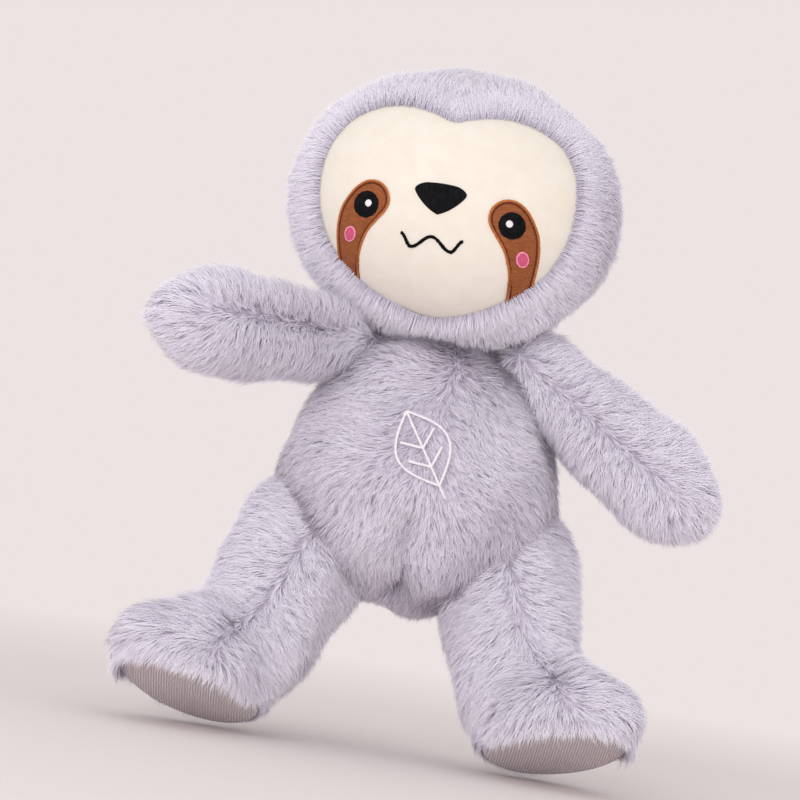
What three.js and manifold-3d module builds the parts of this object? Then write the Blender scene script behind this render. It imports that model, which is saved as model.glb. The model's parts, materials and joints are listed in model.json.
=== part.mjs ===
// Plush sloth, 35 cm tall, sewn from long-pile covers over stuffing.
// Millimetres, +Z up, the toy faces -Y. Left and right are the viewer's.

import * as THREE from 'three';
import { mergeVertices } from 'three/addons/utils/BufferGeometryUtils.js';
import Module from 'manifold-3d';

const wasm = await Module();
wasm.setup();
const { Manifold, Mesh: SolidMesh } = wasm;

// Sewing: the gap left between touching pieces, and the fur cover's thickness
const GAP = 0.3;
const COVER = 9;
const OVERRUN = 60;
const FLAT_CUT = 0.5;
const WELD = 0.1;

// Head: an ellipsoid carried on the torso's round top
const HEAD_HALF_WIDTH = 86;
const HEAD_HALF_DEPTH = 68;
const HEAD_HALF_HEIGHT = 71;
const HEAD_OFFSET_X = -5;
const HEAD_OFFSET_Y = -6;
const HEAD_RISE = 110;
const HEAD_TURN = THREE.MathUtils.degToRad(8);

// Face: a panel set below the pile, with stitched features on it
const FACE_HALF_WIDTH = 65.5;
const FACE_TOP = 43;
const FACE_CHIN = 60.5;
const FACE_RECESS = 6.5;
const PANEL_THICKNESS = 2;
const PATCH_THICKNESS = 0.9;
const STITCH_THICKNESS = 0.8;
const NOSE_THICKNESS = 1.4;
const FACE_FROM = 32;

const EYE_SPACING = 72;
const EYE_DROP = 11.3;
const EYE_RADIUS = 6.4;
const HIGHLIGHT_RADIUS = 2;
const HIGHLIGHT_IN = 1.5;
const CHEEK_HALF_WIDTH = 3;
const CHEEK_HALF_HEIGHT = 3.6;
const CHEEK_OUT = 6.8;
const CHEEK_DROP = 14.5;
const PATCH_WIDTH = 26.2;
const PATCH_RISE = 12.2;
const PATCH_TAIL = 37;

const NOSE_HALF_WIDTH = 12.8;
const NOSE_TOP = 3;
const NOSE_TIP = 11.9;
const MOUTH_HALF_WIDTH = 15.5;
const MOUTH_TROUGH_AT = 9.9;
const MOUTH_DROP = 25.8;
const MOUTH_WAVE = 2.9;
const MOUTH_LINE = 1.6;

// Torso: a pear with a round top, which is the neck's ball
const NECK_BALL = 50;
const NECK_HEIGHT = 165;
const NECK_LINE = 25;

// How much wider the torso is than its neck ball at the neck line, and the share of
// the way up to its top over which that fades
const SHOULDER_WIDENING = 9;
const SHOULDER_SHARE = 0.28;

const BELLY_HALF_WIDTH = 74;
const BELLY_HALF_DEPTH = 60;
const BELLY_HEIGHT = 124;
const TORSO_BOTTOM = 67;

// Arms: a small ball at the shoulder, swelling to a mitten-like end
const SHOULDER_OUT = 50;
const SHOULDER_RISE = 34;
const SHOULDER_FORWARD = 2;
const SHOULDER_BALL = 23;
const ARM_RADIUS = 28;
const ARM_LENGTH = 121;
const ARM_SWELL_AT = 82;
const LEFT_ARM_DROP = THREE.MathUtils.degToRad(3);
const LEFT_ARM_FORWARD = THREE.MathUtils.degToRad(43);
const RIGHT_ARM_DROP = THREE.MathUtils.degToRad(33);
const RIGHT_ARM_FORWARD = THREE.MathUtils.degToRad(15);

// Legs: a large ball at the hip, a thick shin and a foot turned outwards
const HIP_OUT = 50;
const HIP_HEIGHT = 98;
const HIP_BALL = 38;
const SHIN_RADIUS = 33;
const SHIN_LENGTH = 104;
const SHIN_SWELL_AT = 66;
const LEFT_LEG_SPLAY = THREE.MathUtils.degToRad(18);
const RIGHT_LEG_SPLAY = THREE.MathUtils.degToRad(13);
const LEG_FORWARD = THREE.MathUtils.degToRad(27);
const FOOT_HALF_LENGTH = 47;
const FOOT_HALF_WIDTH = 36;
const FOOT_HALF_HEIGHT = 32;
const FOOT_HEIGHT = 28;
const FOOT_OUT = 19;
const TOES_OUT = THREE.MathUtils.degToRad(52);
const SOLE_LIFT = THREE.MathUtils.degToRad(27);
const SOLE_ROLL = THREE.MathUtils.degToRad(5);
const SOLE_BELOW = 16;
const SOLE_THICKNESS = 2.5;
const SOLE_MARGIN = 3;

// Tummy leaf: a pointed oval with a midrib, veins and a stem
const LEAF_HALF_LENGTH = 20;
const LEAF_HALF_WIDTH = 13.5;
const LEAF_RISE = 26;
const LEAF_OFFSET_X = -1.5;
const LEAF_LEAN = THREE.MathUtils.degToRad(33);
const THREAD = 1.5;
const STEM_LENGTH = 7;
const VEIN_REACH = 9;
const VEIN_RISE = 7;

// Facets of the soft forms, as counts round and along each one
const HEAD_FACETS = [28, 16];
const HEAD_INNER_FACETS = [16, 10];
const FACE_FACETS = [30, 18];
const TORSO_FACETS = [24, 17];
const TORSO_INNER_FACETS = [16, 11];
const LIMB_FACETS = [14, 12];
const LIMB_INNER_FACETS = [9, 8];
const FOOT_FACETS = [18, 10];
const FOOT_INNER_FACETS = [10, 6];
const BALL_FACETS = [16, 8];
const NECK_FACETS = [26, 14];
const FACE_OUTLINE_STEPS = 44;
const PATCH_OUTLINE_STEPS = 44;
const NOSE_OUTLINE_STEPS = 32;
const EYE_STEPS = 24;
const CHEEK_STEPS = 16;
const HIGHLIGHT_STEPS = 12;
const MOUTH_STEPS = 20;
const LEAF_STEPS = 12;

const X = new THREE.Vector3(1, 0, 0);
const Z = new THREE.Vector3(0, 0, 1);

// Solids from geometry, and back

function solid(geometry) {
  const bare = geometry.clone();
  bare.deleteAttribute('normal');
  bare.deleteAttribute('uv');
  const welded = mergeVertices(bare, 1e-4);
  return new Manifold(new SolidMesh({
    numProp: 3,
    vertProperties: new Float32Array(welded.attributes.position.array),
    triVerts: new Uint32Array(welded.index.array),
  }));
}

function geometryOf(body) {
  const mesh = body.simplify(WELD).getMesh();
  const geometry = new THREE.BufferGeometry();
  geometry.setAttribute('position', new THREE.BufferAttribute(mesh.vertProperties, 3));
  geometry.setIndex(new THREE.BufferAttribute(mesh.triVerts, 1));
  geometry.computeVertexNormals();
  return geometry;
}

// A round form: rings of points along +Z from a pole to a pole. at(v) gives the
// ring's height, half width and half depth for v from 0 (lowest) to 1.
function roundForm([around, along], at) {
  const points = [];
  const faces = [];
  const ring = (row, column) => 1 + (row - 1) * around + (column % around);
  points.push(0, 0, at(0).height);
  for (let row = 1; row < along; row += 1) {
    const { height, width, depth } = at(row / along);
    for (let column = 0; column < around; column += 1) {
      const angle = (2 * Math.PI * column) / around;
      points.push(width * Math.cos(angle), depth * Math.sin(angle), height);
    }
  }
  points.push(0, 0, at(1).height);
  const last = points.length / 3 - 1;
  for (let column = 0; column < around; column += 1) {
    faces.push(0, ring(1, column + 1), ring(1, column));
    for (let row = 1; row < along - 1; row += 1) {
      const a = ring(row, column);
      const b = ring(row, column + 1);
      const c = ring(row + 1, column + 1);
      const d = ring(row + 1, column);
      faces.push(a, b, c, a, c, d);
    }
    faces.push(ring(along - 1, column), ring(along - 1, column + 1), last);
  }
  const geometry = new THREE.BufferGeometry();
  geometry.setAttribute('position', new THREE.Float32BufferAttribute(points, 3));
  geometry.setIndex(faces);
  geometry.computeVertexNormals();
  return geometry;
}

// The same form grown along its normals, or shrunk by a negative amount
function grown(geometry, amount) {
  const copy = geometry.clone();
  const { position, normal } = copy.attributes;
  for (let i = 0; i < position.count; i += 1) {
    position.setXYZ(
      i,
      position.getX(i) + amount * normal.getX(i),
      position.getY(i) + amount * normal.getY(i),
      position.getZ(i) + amount * normal.getZ(i),
    );
  }
  return copy;
}

function ellipsoid(facets, halfWidth, halfDepth, halfHeight) {
  return roundForm(facets, (v) => ({
    height: -halfHeight * Math.cos(Math.PI * v),
    width: halfWidth * Math.sin(Math.PI * v),
    depth: halfDepth * Math.sin(Math.PI * v),
  }));
}

// A faceted ball that encloses the true sphere, for sockets
function enclosingBall(facets, radius, centre) {
  const [around, along] = facets;
  const size = radius / (Math.cos(Math.PI / around) * Math.cos(Math.PI / (2 * along)));
  return solid(ellipsoid(facets, size, size, size)).translate(centre.toArray());
}

// A drawn outline as a prism from y = from towards the front
function prism(shape, from, reach) {
  const geometry = new THREE.ExtrudeGeometry(shape, { depth: reach, bevelEnabled: false });
  geometry.rotateX(Math.PI / 2);
  geometry.translate(0, -from, 0);
  return solid(geometry);
}

function smoothShape(points, steps) {
  const curve = new THREE.CatmullRomCurve3(points.map(([x, z]) => new THREE.Vector3(x, z, 0)), true);
  return new THREE.Shape(curve.getPoints(steps).slice(0, -1).map((p) => new THREE.Vector2(p.x, p.y)));
}

function ovalShape(halfWidth, halfHeight, x, z, steps) {
  const points = [];
  for (let i = 0; i < steps; i += 1) {
    const angle = (2 * Math.PI * i) / steps;
    points.push(new THREE.Vector2(x + halfWidth * Math.cos(angle), z + halfHeight * Math.sin(angle)));
  }
  return new THREE.Shape(points);
}

// A stitched line of constant width along points in the drawing plane
function lineShape(points, width) {
  const side = (i, sign) => {
    const before = points[Math.max(i - 1, 0)];
    const after = points[Math.min(i + 1, points.length - 1)];
    const along = after.clone().sub(before).normalize();
    return new THREE.Vector2(
      points[i].x - (sign * width * along.y) / 2,
      points[i].y + (sign * width * along.x) / 2,
    );
  };
  const left = points.map((_, i) => side(i, 1));
  const right = points.map((_, i) => side(i, -1)).reverse();
  return new THREE.Shape([...right, ...left].reverse());
}

// Materials

function cloth(color, roughness = 0.95) {
  return new THREE.MeshStandardMaterial({ color, roughness, metalness: 0 });
}

const furCloth = () => cloth(0xbdb7cd, 1);
const stuffing = () => cloth(0xf4f2ee, 1);
const creamVelour = () => cloth(0xf8f2e2, 0.9);
const brownThread = () => cloth(0x8a4e2a, 0.7);
const blackThread = () => cloth(0x141214, 0.6);
const pinkThread = () => cloth(0xe8679a, 0.7);
const whiteThread = () => cloth(0xf5f3f2, 0.7);
const soleKnit = () => cloth(0xa79da0, 0.95);

const group = new THREE.Group();

function add(name, body, material, parent = group) {
  const mesh = new THREE.Mesh(geometryOf(body), material);
  mesh.name = name;
  parent.add(mesh);
  return mesh;
}

// Torso form: the neck ball above the neck line, widened into shoulders at its foot,
// a Hermite pear to the belly, a round bottom below it

function hermite(t, from, fromSlope, to, toSlope) {
  const t2 = t * t;
  const t3 = t2 * t;
  return (2 * t3 - 3 * t2 + 1) * from + (t3 - 2 * t2 + t) * fromSlope
    + (3 * t2 - 2 * t3) * to + (t3 - t2) * toSlope;
}

const neckLineWidth = Math.sqrt(NECK_BALL ** 2 - NECK_LINE ** 2);
const neckLineSlope = NECK_LINE / neckLineWidth;
const flankHeight = NECK_HEIGHT + NECK_LINE - BELLY_HEIGHT;
const bottomHeight = BELLY_HEIGHT - TORSO_BOTTOM;
const bottomRowShare = 0.35;
const flankRowShare = 0.65;

function torsoRing(v) {
  if (v >= flankRowShare) {
    const t = (v - flankRowShare) / (1 - flankRowShare);
    const lineAngle = Math.acos(NECK_LINE / NECK_BALL);
    const angle = lineAngle * (1 - t);
    const depth = NECK_BALL * Math.sin(angle);
    const shoulder = SHOULDER_WIDENING * Math.max(1 - (t / SHOULDER_SHARE) ** 2, 0);
    return { height: NECK_HEIGHT + NECK_BALL * Math.cos(angle), width: depth + shoulder, depth };
  }
  if (v >= bottomRowShare) {
    const t = (v - bottomRowShare) / (flankRowShare - bottomRowShare);
    const slope = -neckLineSlope * flankHeight;
    return {
      height: BELLY_HEIGHT + flankHeight * t,
      width: hermite(t, BELLY_HALF_WIDTH, 0, neckLineWidth + SHOULDER_WIDENING, slope),
      depth: hermite(t, BELLY_HALF_DEPTH, 0, neckLineWidth, slope),
    };
  }
  const angle = (Math.PI / 2) * (v / bottomRowShare);
  return {
    height: BELLY_HEIGHT - bottomHeight * Math.cos(angle),
    width: BELLY_HALF_WIDTH * Math.sin(angle),
    depth: BELLY_HALF_DEPTH * Math.sin(angle),
  };
}

const torsoForm = roundForm(TORSO_FACETS, torsoRing);
const torsoInnerForm = roundForm(TORSO_INNER_FACETS, torsoRing);
const torsoSolid = (amount) => solid(grown(torsoForm, amount));
const torsoInner = (inset) => solid(grown(torsoInnerForm, -inset));

// Limb form: a ball at the joint, then a shaft that swells and rounds off.
// The open form's joint end runs straight on, to open a cover at its seam.

function limbForm({ ball, radius, length, swellAt }, inset, open) {
  const facets = open ? LIMB_INNER_FACETS : LIMB_FACETS;
  const ballShare = 0.3;
  const swellShare = 0.6;
  const form = roundForm(facets, (v) => {
    if (v < ballShare) {
      const angle = (Math.PI / 2) * (v / ballShare);
      const width = ball * Math.sin(angle);
      return { height: -ball * Math.cos(angle), width, depth: width };
    }
    if (v < swellShare) {
      const t = (v - ballShare) / (swellShare - ballShare);
      const width = hermite(t, ball, 0, radius, 0);
      return { height: swellAt * t, width, depth: width };
    }
    const angle = (Math.PI / 2) * ((v - swellShare) / (1 - swellShare));
    const width = radius * Math.cos(angle);
    return { height: swellAt + (length - swellAt) * Math.sin(angle), width, depth: width };
  });
  const body = solid(grown(form, -inset));
  if (!open) return body;
  const mouth = new THREE.CylinderGeometry(ball - inset, ball - inset, 2 * ball, facets[0]);
  mouth.rotateX(Math.PI / 2);
  mouth.translate(0, 0, -ball);
  return body.add(solid(mouth));
}

// Turns +Z to the limb's direction and moves the joint to its place
function placement(direction, joint) {
  const turn = new THREE.Quaternion().setFromUnitVectors(Z, direction);
  return new THREE.Matrix4().compose(joint, turn, new THREE.Vector3(1, 1, 1));
}

const placed = (body, matrix) => body.transform(matrix.elements);

function turned(body, axis, angle, centre) {
  const move = new THREE.Matrix4().makeTranslation(...centre.toArray())
    .multiply(new THREE.Matrix4().makeRotationAxis(axis, angle))
    .multiply(new THREE.Matrix4().makeTranslation(...centre.clone().negate().toArray()));
  return placed(body, move);
}

// Joints: where each one lies, its axis and its range

const neck = new THREE.Vector3(0, 0, NECK_HEIGHT);
const sides = { left: -1, right: 1 };

const armDrop = { left: LEFT_ARM_DROP, right: RIGHT_ARM_DROP };
const armForward = { left: LEFT_ARM_FORWARD, right: RIGHT_ARM_FORWARD };
const ARM_RAISE = { left: THREE.MathUtils.degToRad(15), right: THREE.MathUtils.degToRad(40) };
const ARM_LOWER = { left: THREE.MathUtils.degToRad(25), right: THREE.MathUtils.degToRad(10) };
const legSplay = { left: LEFT_LEG_SPLAY, right: RIGHT_LEG_SPLAY };
const LEG_BACK = THREE.MathUtils.degToRad(25);
const LEG_UP = THREE.MathUtils.degToRad(30);
const NOD_BACK = THREE.MathUtils.degToRad(-10);
const NOD_DOWN = THREE.MathUtils.degToRad(15);
const SEAM_EASE = 3.2;
const CUT_STEP = THREE.MathUtils.degToRad(11);

// Angles over a range, no more than a cutting step apart
function cutAngles([low, high]) {
  const count = Math.ceil((high - low) / CUT_STEP);
  return Array.from({ length: count + 1 }, (_, i) => low + ((high - low) * i) / count);
}

function armParts(side) {
  const sign = sides[side];
  const joint = new THREE.Vector3(sign * SHOULDER_OUT, -SHOULDER_FORWARD, NECK_HEIGHT + SHOULDER_RISE);
  const direction = new THREE.Vector3(
    sign * Math.cos(armDrop[side]) * Math.cos(armForward[side]),
    -Math.cos(armDrop[side]) * Math.sin(armForward[side]),
    -Math.sin(armDrop[side]),
  );
  const axis = new THREE.Vector3().crossVectors(direction, Z).normalize();
  const size = { ball: SHOULDER_BALL, radius: ARM_RADIUS, length: ARM_LENGTH, swellAt: ARM_SWELL_AT };
  const place = placement(direction, joint);
  const whole = placed(limbForm(size, 0, false), place);
  const hollow = placed(limbForm(size, COVER, true), place);
  const inner = placed(limbForm(size, COVER + GAP, true), place);
  const range = [-ARM_LOWER[side], ARM_RAISE[side]];
  return { joint, axis, ball: SHOULDER_BALL, range, whole, hollow, inner };
}

// Foot frame: the sole's normal, the toe direction in the sole, and across it

function footFrame(sign) {
  const normal = new THREE.Vector3(
    sign * Math.sin(SOLE_ROLL),
    -Math.cos(SOLE_ROLL) * Math.sin(SOLE_LIFT),
    -Math.cos(SOLE_ROLL) * Math.cos(SOLE_LIFT),
  );
  const toes = new THREE.Vector3(sign * Math.sin(TOES_OUT), -Math.cos(TOES_OUT), 0);
  toes.addScaledVector(normal, -toes.dot(normal)).normalize();
  const across = new THREE.Vector3().crossVectors(normal, toes);
  return { normal, toes, across };
}

function legParts(side) {
  const sign = sides[side];
  const splay = legSplay[side];
  const joint = new THREE.Vector3(sign * HIP_OUT, 0, HIP_HEIGHT);
  const direction = new THREE.Vector3(
    sign * Math.sin(splay),
    -Math.cos(splay) * Math.sin(LEG_FORWARD),
    -Math.cos(splay) * Math.cos(LEG_FORWARD),
  );
  const { normal, toes, across } = footFrame(sign);
  const down = (HIP_HEIGHT - FOOT_HEIGHT + toes.z * FOOT_OUT) / -direction.z;
  const centre = joint.clone().addScaledVector(direction, down).addScaledVector(toes, FOOT_OUT);
  const foot = new THREE.Matrix4().makeBasis(toes, across, normal).setPosition(centre);
  const size = { ball: HIP_BALL, radius: SHIN_RADIUS, length: SHIN_LENGTH, swellAt: SHIN_SWELL_AT };
  const place = placement(direction, joint);
  const footForm = (facets) => ellipsoid(facets, FOOT_HALF_LENGTH, FOOT_HALF_WIDTH, FOOT_HALF_HEIGHT);

  // Oval block in the sole's plane, from its face up into the foot
  const soleShare = Math.sqrt(1 - (SOLE_BELOW / FOOT_HALF_HEIGHT) ** 2);
  const block = (margin, low, high) => {
    const shape = ovalShape(
      FOOT_HALF_LENGTH * soleShare - margin,
      FOOT_HALF_WIDTH * soleShare - margin,
      0,
      0,
      FOOT_FACETS[0],
    );
    const geometry = new THREE.ExtrudeGeometry(shape, { depth: high - low, bevelEnabled: false });
    geometry.translate(0, 0, low);
    return placed(solid(geometry), foot);
  };
  const above = (level) => {
    const half = new THREE.BoxGeometry(4 * OVERRUN, 4 * OVERRUN, 4 * OVERRUN);
    half.translate(0, 0, level - 2 * OVERRUN);
    return placed(solid(half), foot);
  };
  const footInner = (inset) => placed(solid(grown(footForm(FOOT_INNER_FACETS), -inset)), foot);
  const whole = placed(limbForm(size, 0, false), place)
    .add(placed(solid(footForm(FOOT_FACETS)), foot))
    .intersect(above(SOLE_BELOW));
  const backing = SOLE_BELOW - SOLE_THICKNESS;
  const hollow = placed(limbForm(size, COVER, true), place).add(footInner(COVER))
    .intersect(above(backing))
    .add(block(SOLE_MARGIN, 0, SOLE_BELOW + OVERRUN));
  const inner = placed(limbForm(size, COVER + GAP, true), place).add(footInner(COVER + GAP))
    .add(block(SOLE_MARGIN + GAP, 0, backing))
    .intersect(above(backing - GAP));
  const sole = block(SOLE_MARGIN + GAP, backing, SOLE_BELOW);
  const rest = centre.clone().addScaledVector(normal, SOLE_BELOW);
  const range = [-LEG_UP, LEG_BACK];
  return { joint, axis: X, ball: HIP_BALL, range, whole, hollow, inner, sole, rest, normal };
}

const arms = { left: armParts('left'), right: armParts('right') };
const legs = { left: legParts('left'), right: legParts('right') };
const limbs = [arms.left, arms.right, legs.left, legs.right];

// Head form, in the head's own frame

const headPlace = new THREE.Matrix4().makeRotationZ(-HEAD_TURN)
  .setPosition(HEAD_OFFSET_X, HEAD_OFFSET_Y, NECK_HEIGHT + HEAD_RISE);
const headForm = ellipsoid(HEAD_FACETS, HEAD_HALF_WIDTH, HEAD_HALF_DEPTH, HEAD_HALF_HEIGHT);
const headInnerForm = ellipsoid(HEAD_INNER_FACETS, HEAD_HALF_WIDTH, HEAD_HALF_DEPTH, HEAD_HALF_HEIGHT);
const inHead = (body) => placed(body, headPlace);
const headInner = (inset) => solid(grown(headInnerForm, -inset));

// A limb gives way to the torso wherever it turns, except at its own ball
function clearOfTorso(limb) {
  const ball = enclosingBall(BALL_FACETS, limb.ball, limb.joint);
  const shell = torsoInner(-SEAM_EASE).subtract(ball);
  return cutAngles(limb.range).reduce(
    (body, angle) => body.subtract(turned(shell, limb.axis, -angle, limb.joint)),
    limb.whole,
  );
}

// An arm gives way to the head too, wherever either of them turns
function clearOfHead(arm) {
  const heads = cutAngles([NOD_BACK, NOD_DOWN])
    .map((nod) => turned(inHead(headInner(-SEAM_EASE)), X, nod, neck))
    .reduce((all, head) => all.add(head));
  return cutAngles(arm.range).reduce(
    (body, angle) => body.subtract(turned(heads, arm.axis, -angle, arm.joint)),
    arm.whole,
  );
}

for (const limb of limbs) limb.whole = clearOfTorso(limb);
for (const arm of Object.values(arms)) arm.whole = clearOfHead(arm);

// The lowest edge of the feet is cut flat to rest on
const lowest = Math.min(...Object.values(legs).map((leg) => leg.whole.boundingBox().min[2]));
const floor = new THREE.BoxGeometry(8 * OVERRUN, 8 * OVERRUN, 8 * OVERRUN);
floor.translate(0, 0, lowest + FLAT_CUT - 4 * OVERRUN);
for (const leg of Object.values(legs)) leg.whole = leg.whole.subtract(solid(floor));

// Torso

const sockets = limbs.map((limb) => enclosingBall(BALL_FACETS, limb.ball + GAP, limb.joint));
const withSockets = (body) => sockets.reduce((rest, socket) => rest.subtract(socket), body);

add('torso_fur', withSockets(torsoSolid(0).subtract(torsoInner(COVER))), furCloth());
add('torso_stuffing', withSockets(torsoInner(COVER + GAP)), stuffing());

// Face, in the head's own frame

const faceForm = ellipsoid(FACE_FACETS, HEAD_HALF_WIDTH, HEAD_HALF_DEPTH, HEAD_HALF_HEIGHT);
const faceLevel = (amount) => solid(grown(faceForm, amount));

// Half the face's outline from the brow's dip to the chin, as shares of its
// half width and of its height above or below the middle
const faceOutlineShares = [
  [0, 0.855], [0.11, 0.91], [0.22, 0.96], [0.38, 0.995], [0.53, 0.985], [0.67, 0.92],
  [0.81, 0.8], [0.91, 0.61], [0.97, 0.4], [1, 0.06], [0.97, -0.24], [0.86, -0.5],
  [0.67, -0.705], [0.43, -0.87], [0.2, -0.965], [0, -1],
];

function faceOutline(margin) {
  const half = faceOutlineShares.map(([x, z]) => [
    x * (FACE_HALF_WIDTH - margin),
    z * ((z > 0 ? FACE_TOP : FACE_CHIN) - margin),
  ]);
  const mirrored = half.slice(1, -1).reverse().map(([x, z]) => [-x, z]);
  return smoothShape([...half, ...mirrored], FACE_OUTLINE_STEPS);
}

const faceHole = prism(faceOutline(0), FACE_FROM, HEAD_HALF_DEPTH + OVERRUN);
const facePrism = prism(faceOutline(GAP), FACE_FROM, HEAD_HALF_DEPTH + OVERRUN);
const panelBack = -FACE_RECESS - PANEL_THICKNESS;
const neckSocket = enclosingBall(NECK_FACETS, NECK_BALL + GAP, neck);

const headFur = solid(headForm).subtract(headInner(COVER)).subtract(faceHole);
add('head_fur', inHead(headFur).subtract(neckSocket), furCloth());
add('head_stuffing', inHead(headInner(COVER + GAP)).subtract(neckSocket), stuffing());

// A stitched piece: an outline taken between two levels above the panel
function stitched(name, shape, low, high, material) {
  const piece = faceLevel(high - FACE_RECESS).subtract(faceLevel(low - FACE_RECESS))
    .intersect(prism(shape, FACE_FROM, HEAD_HALF_DEPTH + OVERRUN))
    .intersect(facePrism);
  add(name, inHead(piece), material);
}

const panel = faceLevel(-FACE_RECESS).subtract(faceLevel(panelBack)).intersect(facePrism);
add('face_panel', inHead(panel), creamVelour());

// Eye patch: a teardrop with its round end at the eye and its tail at the jaw
const patchOutlineShares = [
  [0.06, 1], [0.25, 0.89], [0.39, 0.59], [0.44, 0.19], [0.4, -0.07], [0.3, -0.19],
  [0.15, -0.32], [0.02, -0.46], [-0.05, -0.61], [-0.065, -0.76], [-0.05, -0.92],
  [-0.04, -1.08], [-0.23, -1.01], [-0.4, -0.89],
  [-0.49, -0.75], [-0.53, -0.58], [-0.56, -0.41], [-0.56, -0.26], [-0.52, -0.08], [-0.43, 0.18],
  [-0.29, 0.61], [-0.12, 0.9],
];

for (const [side, sign] of Object.entries(sides)) {
  const eyeX = (sign * EYE_SPACING) / 2;
  const eyeZ = -EYE_DROP;
  const outline = patchOutlineShares.map(([x, z]) => [
    eyeX - sign * x * PATCH_WIDTH,
    eyeZ + z * (z > 0 ? PATCH_RISE : PATCH_TAIL),
  ]);
  const patchTop = GAP + PATCH_THICKNESS;
  const eyeTop = patchTop + GAP + STITCH_THICKNESS;
  stitched(`${side}_eye_patch`, smoothShape(outline, PATCH_OUTLINE_STEPS), GAP, patchTop, brownThread());
  stitched(
    `${side}_eye`,
    ovalShape(EYE_RADIUS, EYE_RADIUS, eyeX, eyeZ, EYE_STEPS),
    patchTop + GAP,
    eyeTop,
    blackThread(),
  );
  stitched(
    `${side}_eye_highlight`,
    ovalShape(HIGHLIGHT_RADIUS, HIGHLIGHT_RADIUS, eyeX - sign * HIGHLIGHT_IN, eyeZ, HIGHLIGHT_STEPS),
    eyeTop + GAP,
    eyeTop + GAP + STITCH_THICKNESS,
    whiteThread(),
  );
  stitched(
    `${side}_cheek`,
    ovalShape(CHEEK_HALF_WIDTH, CHEEK_HALF_HEIGHT, eyeX + sign * CHEEK_OUT, eyeZ - CHEEK_DROP, CHEEK_STEPS),
    patchTop + GAP,
    eyeTop,
    pinkThread(),
  );
}

const noseOutlineShares = [
  [-1, -0.08], [-0.88, 0.35], [-0.62, 0.85], [-0.2, 1], [0.2, 1], [0.62, 0.85],
  [0.88, 0.35], [1, -0.08], [0.88, -0.25], [0.62, -0.5], [0.3, -0.77], [0.05, -1],
  [-0.05, -1], [-0.3, -0.77], [-0.62, -0.5], [-0.88, -0.25],
];
const noseShape = smoothShape(noseOutlineShares.map(([x, z]) => [
  x * NOSE_HALF_WIDTH,
  z * (z > 0 ? NOSE_TOP : NOSE_TIP),
]), NOSE_OUTLINE_STEPS);
stitched('nose', noseShape, GAP, GAP + NOSE_THICKNESS, blackThread());

// Mouth: a stitched wave, from its crest down to a trough on each side and up again
const mouthPoints = [];
for (let i = 0; i <= MOUTH_STEPS; i += 1) {
  const x = MOUTH_HALF_WIDTH * ((2 * i) / MOUTH_STEPS - 1);
  const beyond = (Math.abs(x) - MOUTH_TROUGH_AT) / (MOUTH_HALF_WIDTH - MOUTH_TROUGH_AT);
  const phase = beyond > 0 ? 1 + beyond : Math.abs(x) / MOUTH_TROUGH_AT;
  mouthPoints.push(new THREE.Vector2(x, MOUTH_WAVE * Math.cos(Math.PI * phase) - MOUTH_DROP));
}
stitched('mouth', lineShape(mouthPoints, MOUTH_LINE), GAP, GAP + STITCH_THICKNESS, blackThread());

// Tummy leaf, drawn upright and leant, then taken from a thin layer over the torso

function leafSolid() {
  const arc = (sign) => {
    const points = [];
    for (let i = 0; i <= LEAF_STEPS; i += 1) {
      const t = i / LEAF_STEPS;
      points.push(new THREE.Vector2(
        sign * LEAF_HALF_WIDTH * Math.sin(Math.PI * t),
        LEAF_HALF_LENGTH * (1 - 2 * t),
      ));
    }
    return points;
  };
  const straight = (x0, z0, x1, z1) => [new THREE.Vector2(x0, z0), new THREE.Vector2(x1, z1)];
  const lines = [
    arc(1),
    arc(-1),
    straight(0, LEAF_HALF_LENGTH, 0, -LEAF_HALF_LENGTH - STEM_LENGTH),
    straight(0, 0, VEIN_REACH, VEIN_RISE),
    straight(0, 0, -VEIN_REACH, VEIN_RISE),
    straight(0, -LEAF_HALF_LENGTH / 2, VEIN_REACH, VEIN_RISE - LEAF_HALF_LENGTH / 2),
    straight(0, -LEAF_HALF_LENGTH / 2, -VEIN_REACH, VEIN_RISE - LEAF_HALF_LENGTH / 2),
  ];
  return lines
    .map((points) => prism(lineShape(points, THREAD), 0, BELLY_HALF_DEPTH + OVERRUN))
    .reduce((all, line) => all.add(line))
    .transform(new THREE.Matrix4().makeRotationY(-LEAF_LEAN)
      .setPosition(LEAF_OFFSET_X, 0, BELLY_HEIGHT + LEAF_RISE).elements);
}

const leafLayer = torsoSolid(GAP + STITCH_THICKNESS).subtract(torsoSolid(GAP));
add('leaf_embroidery', leafLayer.intersect(leafSolid()), whiteThread());

// Limbs

for (const side of Object.keys(sides)) {
  const arm = arms[side];
  add(`${side}_arm_fur`, arm.whole.subtract(arm.hollow), furCloth());
  add(`${side}_arm_stuffing`, arm.whole.intersect(arm.inner), stuffing());
  const leg = legs[side];
  add(`${side}_leg_fur`, leg.whole.subtract(leg.hollow), furCloth());
  add(`${side}_leg_stuffing`, leg.whole.intersect(leg.inner), stuffing());
  add(`${side}_sole`, leg.sole, soleKnit());
}

// The toy stands with the middle of its box over the origin, on its lowest edge
const box = new THREE.Box3().setFromObject(group);
const middle = box.getCenter(new THREE.Vector3());
group.position.set(-middle.x, -middle.y, -box.min.z);
group.updateMatrixWorld(true);

// Joint centres and sole faces in the finished frame, for whoever fits them
const report = (name, point, direction) => console.log(
  name,
  point.clone().add(group.position).toArray().map((v) => v.toFixed(3)).join(' '),
  direction.toArray().map((v) => v.toFixed(5)).join(' '),
);
report('neck', neck, X);
for (const side of Object.keys(sides)) {
  report(`${side} shoulder`, arms[side].joint, arms[side].axis);
  report(`${side} hip`, legs[side].joint, legs[side].axis);
  report(`${side} sole`, legs[side].rest, legs[side].normal);
}

export default group;
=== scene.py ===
"""Plush sloth: fur, stitched face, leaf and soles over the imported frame.

Metres, +Z up, the toy faces -Y. Left and right are the viewer's.
"""

import json
import math

import bpy
import numpy as np
from mathutils import Matrix, Vector

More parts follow.
